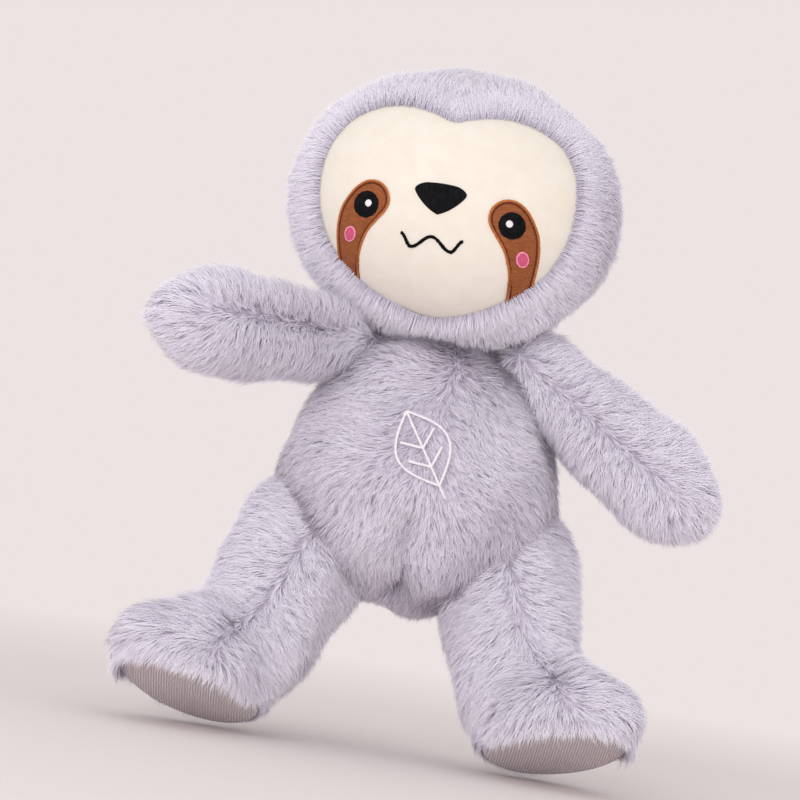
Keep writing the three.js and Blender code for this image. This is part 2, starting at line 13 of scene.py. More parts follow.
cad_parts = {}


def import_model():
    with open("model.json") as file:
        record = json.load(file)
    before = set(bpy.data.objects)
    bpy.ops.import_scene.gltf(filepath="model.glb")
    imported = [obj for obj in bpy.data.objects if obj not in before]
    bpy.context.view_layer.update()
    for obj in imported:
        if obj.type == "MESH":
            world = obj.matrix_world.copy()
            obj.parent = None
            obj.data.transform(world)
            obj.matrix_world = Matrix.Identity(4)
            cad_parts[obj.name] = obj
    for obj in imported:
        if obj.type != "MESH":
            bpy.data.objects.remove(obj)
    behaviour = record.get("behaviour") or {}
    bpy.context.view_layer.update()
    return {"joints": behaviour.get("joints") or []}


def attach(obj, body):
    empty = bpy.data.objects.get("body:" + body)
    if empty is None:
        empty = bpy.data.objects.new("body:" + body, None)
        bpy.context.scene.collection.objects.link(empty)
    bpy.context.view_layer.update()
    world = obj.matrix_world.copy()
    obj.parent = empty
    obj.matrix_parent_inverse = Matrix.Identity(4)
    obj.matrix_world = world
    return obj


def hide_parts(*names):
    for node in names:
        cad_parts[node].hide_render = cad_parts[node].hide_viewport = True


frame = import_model()
joints = {joint["name"]: np.array(joint["pos_m"]) for joint in frame["joints"]}
rng = np.random.default_rng(7)
scene = bpy.context.scene

MM = 0.001
FAR = 1.0
NECK_HEIGHT = 165 * MM
ORIGIN = joints["neck_nod"] - (0, 0, NECK_HEIGHT)

# Head, in its own frame
HEAD_SIZE = np.array([86, 68, 71]) * MM
HEAD_CENTRE = np.array([-5, -6, 275]) * MM
HEAD_TURN = math.radians(-8)
HEAD_AXES = np.array([
    (math.cos(HEAD_TURN), -math.sin(HEAD_TURN), 0),
    (math.sin(HEAD_TURN), math.cos(HEAD_TURN), 0),
    (0, 0, 1),
])

# Face
FACE_HALF_WIDTH = 65.5 * MM
FACE_TOP = 43 * MM
FACE_CHIN = 60.5 * MM
FACE_RECESS = 6.5 * MM
EYE_HALF_SPACING = 36 * MM
EYE_DROP = 11.3 * MM
EYE_RADIUS = 6.4 * MM
HIGHLIGHT_RADIUS = 1.7 * MM
HIGHLIGHT_UP = 0.6 * MM
HIGHLIGHT_IN = 1.5 * MM
CHEEK_HALF_WIDTH = 3 * MM
CHEEK_HALF_HEIGHT = 3.6 * MM
CHEEK_OUT = 6.8 * MM
CHEEK_DROP = 14.5 * MM
PATCH_WIDTH = 26.2 * MM
PATCH_RISE = 12.2 * MM
PATCH_TAIL = 37 * MM
NOSE_HALF_WIDTH = 12.8 * MM
NOSE_TOP = 3 * MM
NOSE_TIP = 11.9 * MM
MOUTH_HALF_WIDTH = 15.5 * MM
MOUTH_TROUGH_AT = 9.9 * MM
MOUTH_DROP = 25.8 * MM
MOUTH_WAVE = 2.9 * MM
MOUTH_ASIDE = -1.3 * MM

# Torso
NECK_BALL = 50 * MM
NECK_LINE = 25 * MM
SHOULDER_WIDENING = 9 * MM
SHOULDER_SHARE = 0.28
BELLY_HALF_WIDTH = 74 * MM
BELLY_HALF_DEPTH = 60 * MM
BELLY_HEIGHT = 124 * MM
TORSO_BOTTOM = 67 * MM
TORSO_TOP = NECK_HEIGHT + NECK_BALL

# Filling between the neck and each shoulder
NOTCH_SIZE = np.array([15, 20, 14]) * MM
NOTCH_PLACE = np.array([31, 4, 197]) * MM

# Limbs
ARM_BALL = 23 * MM
ARM_RADIUS = 28 * MM
ARM_LENGTH = 121 * MM
ARM_SWELL_AT = 82 * MM
ARM_DROP = {"left": math.radians(3), "right": math.radians(33)}
ARM_FORWARD = {"left": math.radians(43), "right": math.radians(15)}
HIP_HEIGHT = 98 * MM
HIP_BALL = 38 * MM
SHIN_RADIUS = 33 * MM
SHIN_LENGTH = 104 * MM
SHIN_SWELL_AT = 66 * MM
LEG_SPLAY = {"left": math.radians(18), "right": math.radians(13)}
LEG_FORWARD = math.radians(27)
FOOT_SIZE = np.array([47, 36, 32]) * MM
FOOT_HEIGHT = 28 * MM
FOOT_OUT = 19 * MM
TOES_OUT = math.radians(52)
SOLE_LIFT = math.radians(27)
SOLE_ROLL = math.radians(5)
SOLE_BELOW = 16 * MM
SOLE_FUR_END = SOLE_BELOW - 4.5 * MM
SOLE_MARGIN = 3 * MM
SOLE_DOME = 2.4 * MM
SOLE_RINGS = 30
SOLE_SPOKES = 96
TOE_DROP = 8 * MM
INSTEP_SIZE = np.array([23, 28, 13]) * MM
INSTEP_PLACE = np.array([3, 0, -22]) * MM
SOLE_RIM = (39 * MM, 28.8 * MM, 11.2 * MM)
SOLE_RIM_CLUMPS = 150
UPPER_LEG = 52 * MM
LIMB_ROOT = 60 * MM
SIGN = {"left": -1, "right": 1}

# Leaf on the tummy
LEAF_HALF_LENGTH = 20 * MM
LEAF_HALF_WIDTH = 13.5 * MM
LEAF_PLACE = (-1.5 * MM, 150 * MM)
LEAF_LEAN = math.radians(33)
THREAD = 1.2 * MM
STEM_LENGTH = 7 * MM
VEIN_REACH = 9 * MM
VEIN_RISE = 7 * MM

# Pile. Of a pair, the first is for clumps and the second for the strands in them
PILE_DEPTH = 5 * MM
PILE_LENGTH = 12.5 * MM
TUMMY_PILE = 9.5 * MM
TUFT = 0.6
TUMMY_TUFT = 0.3
PILE_AHEAD = 0.3
LOOK_AHEAD = np.array([0, -1, 0.2])
STRAND_WIDTH = 0.28 * MM
STRANDS_PER_CLUMP = 9
STRAND_POINTS = 7
STRAND_CORNERS = 11
STRAND_TWIST = 0.3
SWING = (0.17, 0.16)
LEAN_SPREAD = (0.045, 0.05)
MOST_LEAN = 1.12
PILE_SMOOTH = 0.85
CLUMP_RADIUS = 1.5 * MM
CLUMP_SPACING = 2.2 * MM
PARTING_REACH = 3.5 * MM
RIM_CLUMPS = 300
RIM_ROWS = (1.3 * MM, 0.5 * MM, -0.4 * MM, -1.4 * MM, -2.4 * MM, -3.4 * MM)

# Partings, where the pile falls away from a seam, in the toy's frame
ARM_SEAM = (10 * MM, 97 * MM)
ARM_SEAM_DROP = {"left": math.radians(10), "right": 0.0}
ARM_SEAM_DEPTH = 3 * MM
LEG_SEAM = {
    "left": np.array([(-48, -38, 104), (-63, -56, 66), (-78, -73, 47), (-84, -78, 38)]) * MM,
    "right": np.array([(51, -38, 103), (60, -52, 78), (78, -72, 51), (90, -82, 37)]) * MM,
}
LEG_SEAM_DEPTH = 2 * MM
TUMMY_SEAM = np.array([(-1, -60, 116), (-1, -50, 90), (-4, -30, 74)]) * MM
TUMMY_SEAM_DEPTH = 5 * MM
TUMMY_MIDDLE = np.array([(10, -60, 190), (0, -60, 150)]) * MM

# Stitches laid in rows
UV_SPAN = 100 * MM
STITCH_RUN = 2.4 * MM
STITCH_ROW = 0.55 * MM
STITCH_GAP = 0.09 * MM
STITCH_PITCH = 0.45 * MM
SATIN_PROFILE = 7


def colour(*screen):
    """Red, green and blue as picked from 0 to 255 on the screen, as Blender's linear colour."""
    values = np.array(screen) / 255
    linear = np.where(values <= 0.04045, values / 12.92, ((values + 0.055) / 1.055) ** 2.4)
    return (*linear.tolist(), 1.0)


# Materials

def new_material(name, base, roughness, sheen=0.0, specular=0.3):
    material = bpy.data.materials.new(name)
    material.use_nodes = True
    shader = material.node_tree.nodes["Principled BSDF"]
    for socket, value in (("Base Color", colour(*base)), ("Roughness", roughness), ("Sheen Roughness", 0.5),
                          ("Sheen Weight", sheen), ("Specular IOR Level", specular)):
        shader.inputs[socket].default_value = value
    return material, material.node_tree, shader


def node(tree, kind, **values):
    """A node with its inputs and settings by name. An input is linked where its value is a socket."""
    made = tree.nodes.new("ShaderNode" + kind)
    for key, value in values.items():
        socket = made.inputs.get(key.replace("_", " ").title())
        if socket is None:
            setattr(made, key, value)
        elif isinstance(value, bpy.types.NodeSocket):
            tree.links.new(value, socket)
        else:
            socket.default_value = value
    return made


def ramp(tree, factor, stops):
    made = node(tree, "ValToRGB", fac=factor)
    elements = made.color_ramp.elements
    while len(elements) < len(stops):
        elements.new(0.5)
    for element, (place, value) in zip(elements, stops):
        element.position = place
        element.color = colour(*value)
    return made.outputs["Color"]


def piece_place(tree):
    return node(tree, "TexCoord").outputs["Object"]


def noise(tree, scale, detail):
    return node(tree, "TexNoise", vector=piece_place(tree), scale=scale, detail=detail).outputs["Fac"]


def map_place(tree):
    return node(tree, "UVMap", uv_map="OFBake").outputs["UV"]


def mixed(tree, first, second, share):
    """A grey with a share of the first and the rest of the second."""
    rest = node(tree, "Math", operation="MULTIPLY", value=second)
    rest.inputs[1].default_value = 1 - share
    both = node(tree, "Math", operation="MULTIPLY_ADD", value=first)
    both.inputs[1].default_value = share
    tree.links.new(rest.outputs[0], both.inputs[2])
    return both.outputs[0]


def finished(material, tree, shader, tint, height, strength, depth, invert=False):
    """The material with its colour and its fine relief."""
    tree.links.new(tint, shader.inputs["Base Color"])
    bump = node(tree, "Bump", strength=strength, distance=depth, height=height, invert=invert)
    tree.links.new(bump.outputs["Normal"], shader.inputs["Normal"])
    return material


def fur_material():
    """Colour runs from root to tip along V, and U carries each strand's tone and its painted shade."""
    material, tree, shader = new_material("lavender_fur", (200, 192, 208), 0.62, 0.5, 0.25)
    split = node(tree, "SeparateXYZ", vector=map_place(tree))
    # Darker towards the root: painted shade deep in the pile, with lighter tips.
    along = ramp(tree, split.outputs["Y"], [
        (0.0, (206, 201, 216)),
        (0.35, (229, 225, 236)),
        (0.7, (243, 240, 248)),
        (1.0, (249, 247, 252)),
    ])
    # U's dark end, below 0.2, is painted shade, reached where strands are darkened; above it is each strand's
    # own tone.
    shade = ramp(tree, split.outputs["X"], [
        (0.0, (142, 130, 148)),
        (0.2, (234, 230, 238)),
        (0.6, (251, 250, 254)),
        (1.0, (255, 254, 255)),
    ])
    mix = node(tree, "Mix", data_type="RGBA", blend_type="MULTIPLY", factor=1.0)
    tree.links.new(along, mix.inputs[6])
    tree.links.new(shade, mix.inputs[7])
    tree.links.new(mix.outputs[2], shader.inputs["Base Color"])
    return material


def cloth_material(name, light, dark, scale, bump):
    """A mottled cloth with a fine nap."""
    material, tree, shader = new_material(name, light, 0.9, 0.2)
    nap = noise(tree, scale, 6)
    tint = ramp(tree, mixed(tree, noise(tree, scale / 14, 3), nap, 0.6), [(0.35, dark), (0.62, light)])
    return finished(material, tree, shader, tint, nap, bump, 0.4 * MM)


def thread_material(name, light, dark, roughness=0.6, specular=0.3):
    """Rayon thread, lighter and darker along its twist."""
    material, tree, shader = new_material(name, light, roughness, 0.0, specular)
    twist = noise(tree, 1400, 4)
    tint = ramp(tree, twist, [(0.3, dark), (0.7, light)])
    return finished(material, tree, shader, tint, twist, 0.35, 0.2 * MM)


def fill_material(name, light, middle, dark, roughness=0.6, specular=0.25):
    """Rows of laid stitches: U runs along a stitch and V across the rows."""
    material, tree, shader = new_material(name, light, roughness, 0.0, specular)
    where = map_place(tree)
    waver = node(tree, "TexNoise", vector=where, scale=60.0, detail=3.0)
    shift = node(tree, "VectorMath", operation="MULTIPLY_ADD", vector=waver.outputs["Color"])
    shift.inputs[1].default_value = (0.006, 0.006, 0)
    tree.links.new(where, shift.inputs[2])
    rows = node(tree, "TexBrick", vector=shift.outputs[0], offset=0.37, scale=1,
                brick_width=STITCH_RUN / UV_SPAN, row_height=STITCH_ROW / UV_SPAN,
                mortar_size=STITCH_GAP / UV_SPAN, mortar_smooth=1, color1=colour(*light),
                color2=colour(*middle), mortar=colour(*dark))
    return finished(material, tree, shader, rows.outputs["Color"], rows.outputs["Fac"], 0.5, 0.25 * MM, True)


def knit_material():
    """Fine ribs of small loops."""
    material, tree, shader = new_material("sole_knit", (196, 182, 187), 0.95, 0.15, 0.15)
    where = map_place(tree)
    ribs = node(tree, "TexWave", vector=where, bands_direction="X", scale=24.0, distortion=2.6,
                detail=1.0, detail_scale=2.0)
    loops = node(tree, "TexWave", vector=where, bands_direction="Y", scale=30.0, distortion=2.0)
    knit = mixed(tree, ribs.outputs["Fac"], loops.outputs["Fac"], 0.65)
    tint = ramp(tree, knit, [(0.15, (172, 157, 163)), (0.75, (228, 217, 220))])
    return finished(material, tree, shader, tint, knit, 0.8, 0.7 * MM)


FUR = fur_material()
UNDERCOAT = cloth_material("pile_backing", (216, 208, 223), (198, 190, 206), 900, 0.6)
VELOUR = cloth_material("cream_velour", (235, 228, 217), (231, 222, 209), 1600, 0.25)
BROWN = fill_material("brown_fill", (168, 98, 54), (146, 80, 42), (92, 44, 20))
ORANGE = thread_material("orange_thread", (202, 122, 58), (160, 84, 32))
RUST = thread_material("rust_thread", (112, 48, 20), (74, 26, 10))
BLACK = fill_material("black_fill", (27, 26, 29), (12, 11, 14), (3, 3, 4), 0.8, 0.1)
BLACK_LINE = thread_material("black_thread", (16, 14, 17), (5, 5, 7), 0.8, 0.1)
WHITE = thread_material("white_thread", (246, 243, 247), (222, 218, 226))
PINK = fill_material("pink_fill", (224, 104, 140), (206, 84, 122), (160, 54, 86))
ROSE = thread_material("rose_thread", (248, 164, 190), (230, 130, 162))
KNIT = knit_material()


# Mesh helpers

def add_piece(name, mesh, body):
    piece = bpy.data.objects.new(name, mesh)
    scene.collection.objects.link(piece)
    if body:
        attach(piece, body)
    return piece


def add_mesh(name, vertices, faces, material, body):
    mesh = bpy.data.meshes.new(name)
    mesh.from_pydata([tuple(v) for v in vertices], [], faces)
    mesh.materials.append(material)
    mesh.shade_smooth()
    return add_piece(name, mesh, body)


def add_uv(piece, places):
    corner = np.empty(len(piece.data.loops), np.int32)
    piece.data.loops.foreach_get("vertex_index", corner)
    layer = piece.data.uv_layers.new(name="OFBake")
    layer.data.foreach_set("uv", places[corner].ravel())


def unit(vectors):
    return vectors / np.maximum(np.linalg.norm(vectors, axis=-1, keepdims=True), 1e-12)


def round_form(around, along, ring):
    """Rings of points along +Z from pole to pole: ring(v) gives height, width and depth."""
    rows = [ring(row / along) for row in range(along + 1)]
    angle = np.linspace(0, 2 * np.pi, around, endpoint=False)
    points = [np.array([[0, 0, rows[0][0]]])]
    for height, width, depth in rows[1:-1]:
        points.append(np.stack([width * np.cos(angle), depth * np.sin(angle), np.full(around, height)], 1))
    points.append(np.array([[0, 0, rows[-1][0]]]))
    top = 1 + around * (along - 1)
    faces = []
    for i in range(around):
        j = (i + 1) % around
        faces.append((0, 1 + j, 1 + i))
        faces.append((top - around + i, top - around + j, top))
        for row in range(along - 2):
            a = 1 + row * around
            faces.append((a + i, a + j, a + around + j, a + around + i))
    return np.concatenate(points), faces


def hermite(t, start, start_slope, end, end_slope):
    return ((2 * t ** 3 - 3 * t ** 2 + 1) * start + (t ** 3 - 2 * t ** 2 + t) * start_slope
            + (3 * t ** 2 - 2 * t ** 3) * end + (t ** 3 - t ** 2) * end_slope)


def torso_size(height):
    """The torso's half width and half depth at a height."""
    line = NECK_HEIGHT + NECK_LINE
    if height >= line:
        depth = math.sqrt(max(NECK_BALL ** 2 - (height - NECK_HEIGHT) ** 2, 0))
        way_up = 1 - math.asin(min(depth / NECK_BALL, 1)) / math.acos(NECK_LINE / NECK_BALL)
        return depth + SHOULDER_WIDENING * max(1 - (way_up / SHOULDER_SHARE) ** 2, 0), depth
    if height >= BELLY_HEIGHT:
        run = line - BELLY_HEIGHT
        width = math.sqrt(NECK_BALL ** 2 - NECK_LINE ** 2)
        t = (height - BELLY_HEIGHT) / run
        slope = -NECK_LINE / width * run
        return (hermite(t, BELLY_HALF_WIDTH, 0, width + SHOULDER_WIDENING, slope),
                hermite(t, BELLY_HALF_DEPTH, 0, width, slope))
    share = math.sqrt(max(1 - ((BELLY_HEIGHT - height) / (BELLY_HEIGHT - TORSO_BOTTOM)) ** 2, 0))
    return BELLY_HALF_WIDTH * share, BELLY_HALF_DEPTH * share


def torso_form():
    def ring(v):
        height = TORSO_BOTTOM + (TORSO_TOP - TORSO_BOTTOM) * (1 - math.cos(math.pi * v)) / 2
        return (height, *torso_size(height))
    return round_form(48, 36, ring)


def ellipsoid_form(size):
    return round_form(48, 32, lambda v: (
        -size[2] * math.cos(math.pi * v), size[0] * math.sin(math.pi * v), size[1] * math.sin(math.pi * v)))


def limb_form(ball, radius, length, swell_at):
    def ring(v):
        if v < 0.25:
            angle = math.pi / 2 * v / 0.25
            return -ball * math.cos(angle), ball * math.sin(angle), ball * math.sin(angle)
        if v < 0.6:
            t = (v - 0.25) / 0.35
            width = hermite(t, ball, 0, radius, 0)
            return swell_at * t, width, width
        angle = math.pi / 2 * (v - 0.6) / 0.4
        width = radius * math.cos(angle)
        return swell_at + (length - swell_at) * math.sin(angle), width, width
    return round_form(40, 36, ring)


def turned_to(direction):
    """A turn that brings +Z to a direction, as three columns."""
    return np.array(Vector((0, 0, 1)).rotation_difference(Vector(direction)).to_matrix())


def disc_faces(rings, spokes):
    """Faces of rings of points round a middle point, which is the first."""
    faces = [(0, 1 + i, 1 + (i + 1) % spokes) for i in range(spokes)]
    for a in range(1, 1 + (rings - 1) * spokes, spokes):
        for i in range(spokes):
            j = (i + 1) % spokes
            faces.append((a + i, a + spokes + i, a + spokes + j, a + j))
    return faces


def oval(centre, half_width, half_height, steps=48):
    angle = np.linspace(0, 2 * np.pi, steps, endpoint=False)
    return np.stack([centre[0] + half_width * np.cos(angle), centre[1] + half_height * np.sin(angle)], 1)


# Placements in the shared frame

def head_to_frame(points):
    return points @ HEAD_AXES.T + HEAD_CENTRE + ORIGIN


def frame_to_head(points):
    return (points - HEAD_CENTRE - ORIGIN) @ HEAD_AXES


def arm_direction(side):
    drop, forward = ARM_DROP[side], ARM_FORWARD[side]
    return np.array([SIGN[side] * math.cos(drop) * math.cos(forward),
                     -math.cos(drop) * math.sin(forward), -math.sin(drop)])


def downward(side, splay, forward):
    """A way down, leant outwards and ahead."""
    return np.array([SIGN[side] * math.sin(splay), -math.cos(splay) * math.sin(forward),
                     -math.cos(splay) * math.cos(forward)])


def leg_direction(side):
    return downward(side, LEG_SPLAY[side], LEG_FORWARD)


def foot_frame(side):
    """The foot's frame as columns, toes, across and the sole's normal, and the foot's centre."""
    normal = downward(side, SOLE_ROLL, SOLE_LIFT)
    toes = np.array([SIGN[side] * math.sin(TOES_OUT), -math.cos(TOES_OUT), 0])
    toes = unit(toes - normal * (toes @ normal))
    direction = leg_direction(side)
    down = (HIP_HEIGHT - FOOT_HEIGHT + toes[2] * FOOT_OUT) / -direction[2]
    centre = joints[f"{side}_hip"] + direction * down + toes * FOOT_OUT
    return np.stack([toes, np.cross(normal, toes), normal], 1), centre


# Cloth under the fur: the forms joined, remeshed, smoothed and gently lumpy

def lumps(points, size, seed):
    """Smooth noise between about -1 and 1, from a few slanted waves."""
    waves = np.random.default_rng(seed).normal(size=(6, 3))
    phases = np.random.default_rng(seed + 1).uniform(0, 2 * np.pi, 6)
    return np.sin(points @ (unit(waves) / size).T * 2 * np.pi + phases).sum(1) / 2.6


def points_and_normals(mesh):
    made = []
    for key in ("co", "normal"):
        values = np.empty(len(mesh.vertices) * 3)
        mesh.vertices.foreach_get(key, values)
        made.append(values.reshape(-1, 3))
    return made


def skin(body, forms, shaped, lump=1.2 * MM, cell=3 * MM):
    """A body's backing cloth. shaped moves its points, from them and their normals."""
    name = f"{body}_backing"
    faces, start = [], 0
    for points, polygons in forms:
        faces += [tuple(i + start for i in polygon) for polygon in polygons]
        start += len(points)
    piece = add_mesh(name, np.concatenate([form[0] for form in forms]), faces, UNDERCOAT, None)
    remesh = piece.modifiers.new("remesh", "REMESH")
    remesh.mode = "VOXEL"
    remesh.voxel_size = cell
    smooth = piece.modifiers.new("smooth", "SMOOTH")
    smooth.iterations = int(8 * (3 * MM / cell) ** 2)
    smooth.factor = 0.6
    graph = bpy.context.evaluated_depsgraph_get()
    mesh = bpy.data.meshes.new_from_object(piece.evaluated_get(graph))
    piece.modifiers.clear()
    piece.data = mesh
    points, normals = points_and_normals(mesh)
    points = points - normals * (PILE_DEPTH - lump * lumps(points, 34 * MM, len(name)))[:, None]
    mesh.vertices.foreach_set("co", shaped(points, normals).ravel())
    mesh.update()
    mesh.materials.clear()
    mesh.materials.append(UNDERCOAT)
    mesh.shade_smooth()
    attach(piece, body)
    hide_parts(f"{body}_fur", f"{body}_stuffing")
    return piece


def dense_line(line):
    line = np.asarray(line, float)
    at = np.linspace(0, len(line) - 1, 40)
    return np.stack([np.interp(at, np.arange(len(line)), line[:, k]) for k in range(line.shape[1])], 1)


def bell(distance, reach):
    """1 at no distance, and fading to nothing past the reach."""
    return np.exp(-(distance / reach) ** 2)


def from_line(points, line):
    """The way from the nearest point of a line to each point, how far that is, and which point."""
    gap = points[:, None] - line[None]
    distance = np.linalg.norm(gap, axis=2)
    nearest = distance.argmin(1)
    rows = np.arange(len(points))
    return gap[rows, nearest], distance[rows, nearest], nearest


def across_seam(points, normals, line):
    """The way the pile falls from a seam, square to it nearby, and how far the points are from it."""
    near = bell(np.linalg.norm(line[:, None] - points[None], axis=2), 16 * MM)
    upward = unit(near @ normals)
    gap, _, nearest = from_line(points, line)
    upward = upward[nearest]
    height = (gap * upward).sum(1, keepdims=True) * upward
    distance = np.where((normals * upward).sum(1) > 0, np.linalg.norm(gap - height, axis=1), FAR)
    way = gap - height * bell(distance, 12 * MM)[:, None]
    return way / np.sqrt((way ** 2).sum(1, keepdims=True) + (3 * MM) ** 2), distance


def seam_pull(line, depth):
    """Draws a skin in along a seam."""
    def pull(points, normals):
        distance = across_seam(points, normals, line)[1]
        return points - normals * (depth * bell(distance, 6 * MM))[:, None]
    return pull


def sample(piece, source):
    """Points spread evenly over a piece, one to a cell of a grid, and the normals there."""
    mesh = piece.data
    mesh.calc_loop_triangles()
    triangles = np.empty(len(mesh.loop_triangles) * 3, int)
    mesh.loop_triangles.foreach_get("vertices", triangles)
    triangles = triangles.reshape(-1, 3)
    points, normals = points_and_normals(mesh)
    a, b, c = (points[triangles[:, k]] for k in range(3))
    areas = np.linalg.norm(np.cross(b - a, c - a), axis=1) / 2
    count = int(areas.sum() * 6 / CLUMP_SPACING ** 2)
    chosen = source.choice(len(areas), count, p=areas / areas.sum())
    u, v = source.random((2, count))
    over = u + v > 1
    u[over], v[over] = 1 - u[over], 1 - v[over]
    share = np.stack([1 - u - v, u, v], 1)[:, :, None]
    spot = (share * points[triangles[chosen]]).sum(1)
    facing = (share * normals[triangles[chosen]]).sum(1)
    cells = np.floor(spot / CLUMP_SPACING).astype(int)
    kept = np.unique(cells, axis=0, return_index=True)[1]
    return spot[kept], unit(facing[kept])


# Fur strands

def strands(name, body, source, tuft, roots, normals, comb, length, lean, painted_shade, facing):
    """Clumps of tapered strands. comb is the way they lie, lean how far they lie over, from 0 to 1,
    painted_shade how much shade is painted into their colour, from 0 to 1, facing the way the pile's
    surface looks, and tuft how far a clump draws together at its tip."""
    clumps, per = len(roots), STRANDS_PER_CLUMP
    each, every = (clumps, 1, 1), (clumps, per, 1)
    across = unit(np.cross(normals, comb))
    spread = CLUMP_RADIUS * np.sqrt(source.random(every))
    turn = source.uniform(0, 2 * np.pi, every)
    offset = spread * (np.cos(turn) * comb[:, None] + np.sin(turn) * across[:, None])
    swing = source.normal(0, SWING[0], each) + source.normal(0, SWING[1], every)
    way = comb[:, None] * np.cos(swing) + across[:, None] * np.sin(swing)
    over = lean[:, None, None]
    over = over + source.normal(0, LEAN_SPREAD[0], each) + source.normal(0, LEAN_SPREAD[1], every)
    reach = length[:, None, None] * source.uniform(0.74, 1.05, every) * source.uniform(0.92, 1.06, each)
    gather = source.uniform(tuft / 6, tuft, each)
    path = [roots[:, None] + offset]
    for share, drawn in ((0.6, 0.15), (1.0, 0.4), (1.15, 0.45)):
        angle = np.clip(over * share, 0, MOST_LEAN) * (np.pi / 2)
        ahead = np.cos(angle) * normals[:, None] + np.sin(angle) * way
        path.append(path[-1] + ahead * reach / 3 - offset * gather * drawn)
    count = clumps * per
    path = [points.reshape(count, 3) for points in path]
    up = np.repeat(normals, per, 0)
    looks = np.repeat(facing, per, 0)
    twist = source.normal(0, STRAND_TWIST, (count, 1))
    rows, row_normals = [], []
    for step, half in enumerate(STRAND_WIDTH * np.array([0.5, 0.46, 0.34])):
        ahead = unit(path[step + 1] - path[step])
        level = unit(np.cross(up, ahead))
        side = level * np.cos(twist) + np.cross(ahead, level) * np.sin(twist)
        face = np.cross(side, ahead)
        outward = np.sign((face * up).sum(1, keepdims=True) + 1e-9)
        side, face = side * outward, face * outward
        rows += [path[step] - side * half, path[step] + side * half]
        row_normals += [unit(PILE_SMOOTH * looks + (1 - PILE_SMOOTH) * face)] * 2
    rows.append(path[3])
    row_normals.append(row_normals[-1])
    # Painted shade: strands are darkened in colour where shade falls, lowering their place on the U ramp.
    bright = np.repeat(1 - painted_shade, per)[:, None]
    shade = np.clip((0.2 + 0.8 * source.random((count, 1))) * bright, 0.01, 0.99)
    u = shade + np.array([-1, 1, -1, 1, -1, 1, 0]) * 0.001
    v = np.broadcast_to([0.02, 0.02, 0.36, 0.36, 0.7, 0.7, 0.98], (count, STRAND_POINTS))
    number = np.arange(count)[:, None]
    corners = (number * STRAND_POINTS + np.array([0, 1, 3, 2, 2, 3, 5, 4, 4, 5, 6])).ravel()
    starts = (number * STRAND_CORNERS + np.array([0, 4, 8])).ravel()
    mesh = bpy.data.meshes.new(name)
    mesh.vertices.add(count * STRAND_POINTS)
    mesh.vertices.foreach_set("co", np.stack(rows, 1).ravel())
    mesh.loops.add(count * STRAND_CORNERS)
    mesh.loops.foreach_set("vertex_index", corners.astype(np.int32))
    mesh.polygons.add(count * 3)
    mesh.polygons.foreach_set("loop_start", starts.astype(np.int32))
    mesh.update(calc_edges=True)
    mesh.materials.append(FUR)
    mesh.shade_smooth()
    mesh.normals_split_custom_set_from_vertices(np.stack(row_normals, 1).reshape(-1, 3))
    piece = add_piece(name, mesh, body)
    add_uv(piece, np.stack([u, v], 2).reshape(-1, 2))


def quarters(body, points):
    """The names of a body's four pieces of fur, and which points each has."""
    left, front = points[:, 0] < 0, points[:, 1] <= 0
    return {
        f"{body}_fur_{depth}_{side}": here & there
        for depth, here in (("front", front), ("back", ~front))
        for side, there in (("left", left), ("right", ~left))
    }


def fur(body, source, tuft, parts, *fields):
    """A body's fur in named parts, from what strands() takes for each root."""
    for name, chosen in parts.items():
        strands(name, body, source, tuft, *(field[chosen] for field in fields))


def combed(way, normals, points, amount, size, seed):
    """The way along the skin, swirled this way and that by an amount, in patches of a size."""
    comb = unit(way - normals * (way * normals).sum(1, keepdims=True))
    angle = (amount * lumps(points, size, seed))[:, None]
    return comb * np.cos(angle) + np.cross(normals, comb) * np.sin(angle)


def led(way, direction, pull):
    """A way with little left of what points back against a direction, and a pull along it."""
    return way + (pull - 0.9 * np.minimum(way @ direction, 0))[:, None] * direction


def smoothstep(values, low, high):
    t = np.clip((values - low) / (high - low), 0, 1)
    return t * t * (3 - 2 * t)


# Face outline and where things are on the face

FACE_SHARES = [
    (0, 0.855), (0.11, 0.91), (0.22, 0.96), (0.38, 0.995), (0.53, 0.985), (0.67, 0.92), (0.81, 0.8),
    (0.91, 0.61), (0.97, 0.4), (1, 0.06), (0.97, -0.24), (0.86, -0.5), (0.67, -0.705), (0.43, -0.87),
    (0.2, -0.965), (0, -1),
]
FACE_SHARES += [(-x, z) for x, z in FACE_SHARES[-2:0:-1]]


def beside(ahead):
    """Ways in a plane, turned a quarter to the left."""
    return np.stack([-ahead[:, 1], ahead[:, 0]], 1)


def closed_curve(points, steps):
    """A smooth closed curve through the points."""
    points = np.array(points, float)
    count = len(points)
    places = np.linspace(0, count, steps, endpoint=False)
    index = places.astype(int)
    t = (places - index)[:, None]
    p0, p1, p2, p3 = (points[(index + k) % count] for k in (-1, 0, 1, 2))
    return 0.5 * (2 * p1 + (p2 - p0) * t + (2 * p0 - 5 * p1 + 4 * p2 - p3) * t ** 2
                  + (3 * p1 - p0 - 3 * p2 + p3) * t ** 3)


def shares_curve(shares, half_width, top, tip, steps):
    """A smooth outline from shares of its width and of its height above and below the middle."""
    return closed_curve([(x * half_width, z * (top if z > 0 else tip)) for x, z in shares], steps)


def face_outline(steps=160, margin=0.0):
    return shares_curve(FACE_SHARES, FACE_HALF_WIDTH - margin, FACE_TOP - margin, FACE_CHIN - margin, steps)


FACE_LOOP = face_outline()


def face_edge(points):
    """How far points in the head's frame lie outside the face's outline, from the front, and which way."""
    gap, _, nearest = from_line(points[:, [0, 2]], FACE_LOOP)
    outward = beside(np.roll(FACE_LOOP, -1, 0) - FACE_LOOP)
    outward *= np.sign((outward * FACE_LOOP).sum(1, keepdims=True))
    out = unit(outward)[nearest]
    return (gap * out).sum(1), out


def past_face(flat, margin):
    """Whether points in the head's x and z lie outside the face, or within a margin of its edge."""
    return face_edge(np.c_[flat[:, 0], np.zeros(len(flat)), flat[:, 1]])[0] > -margin


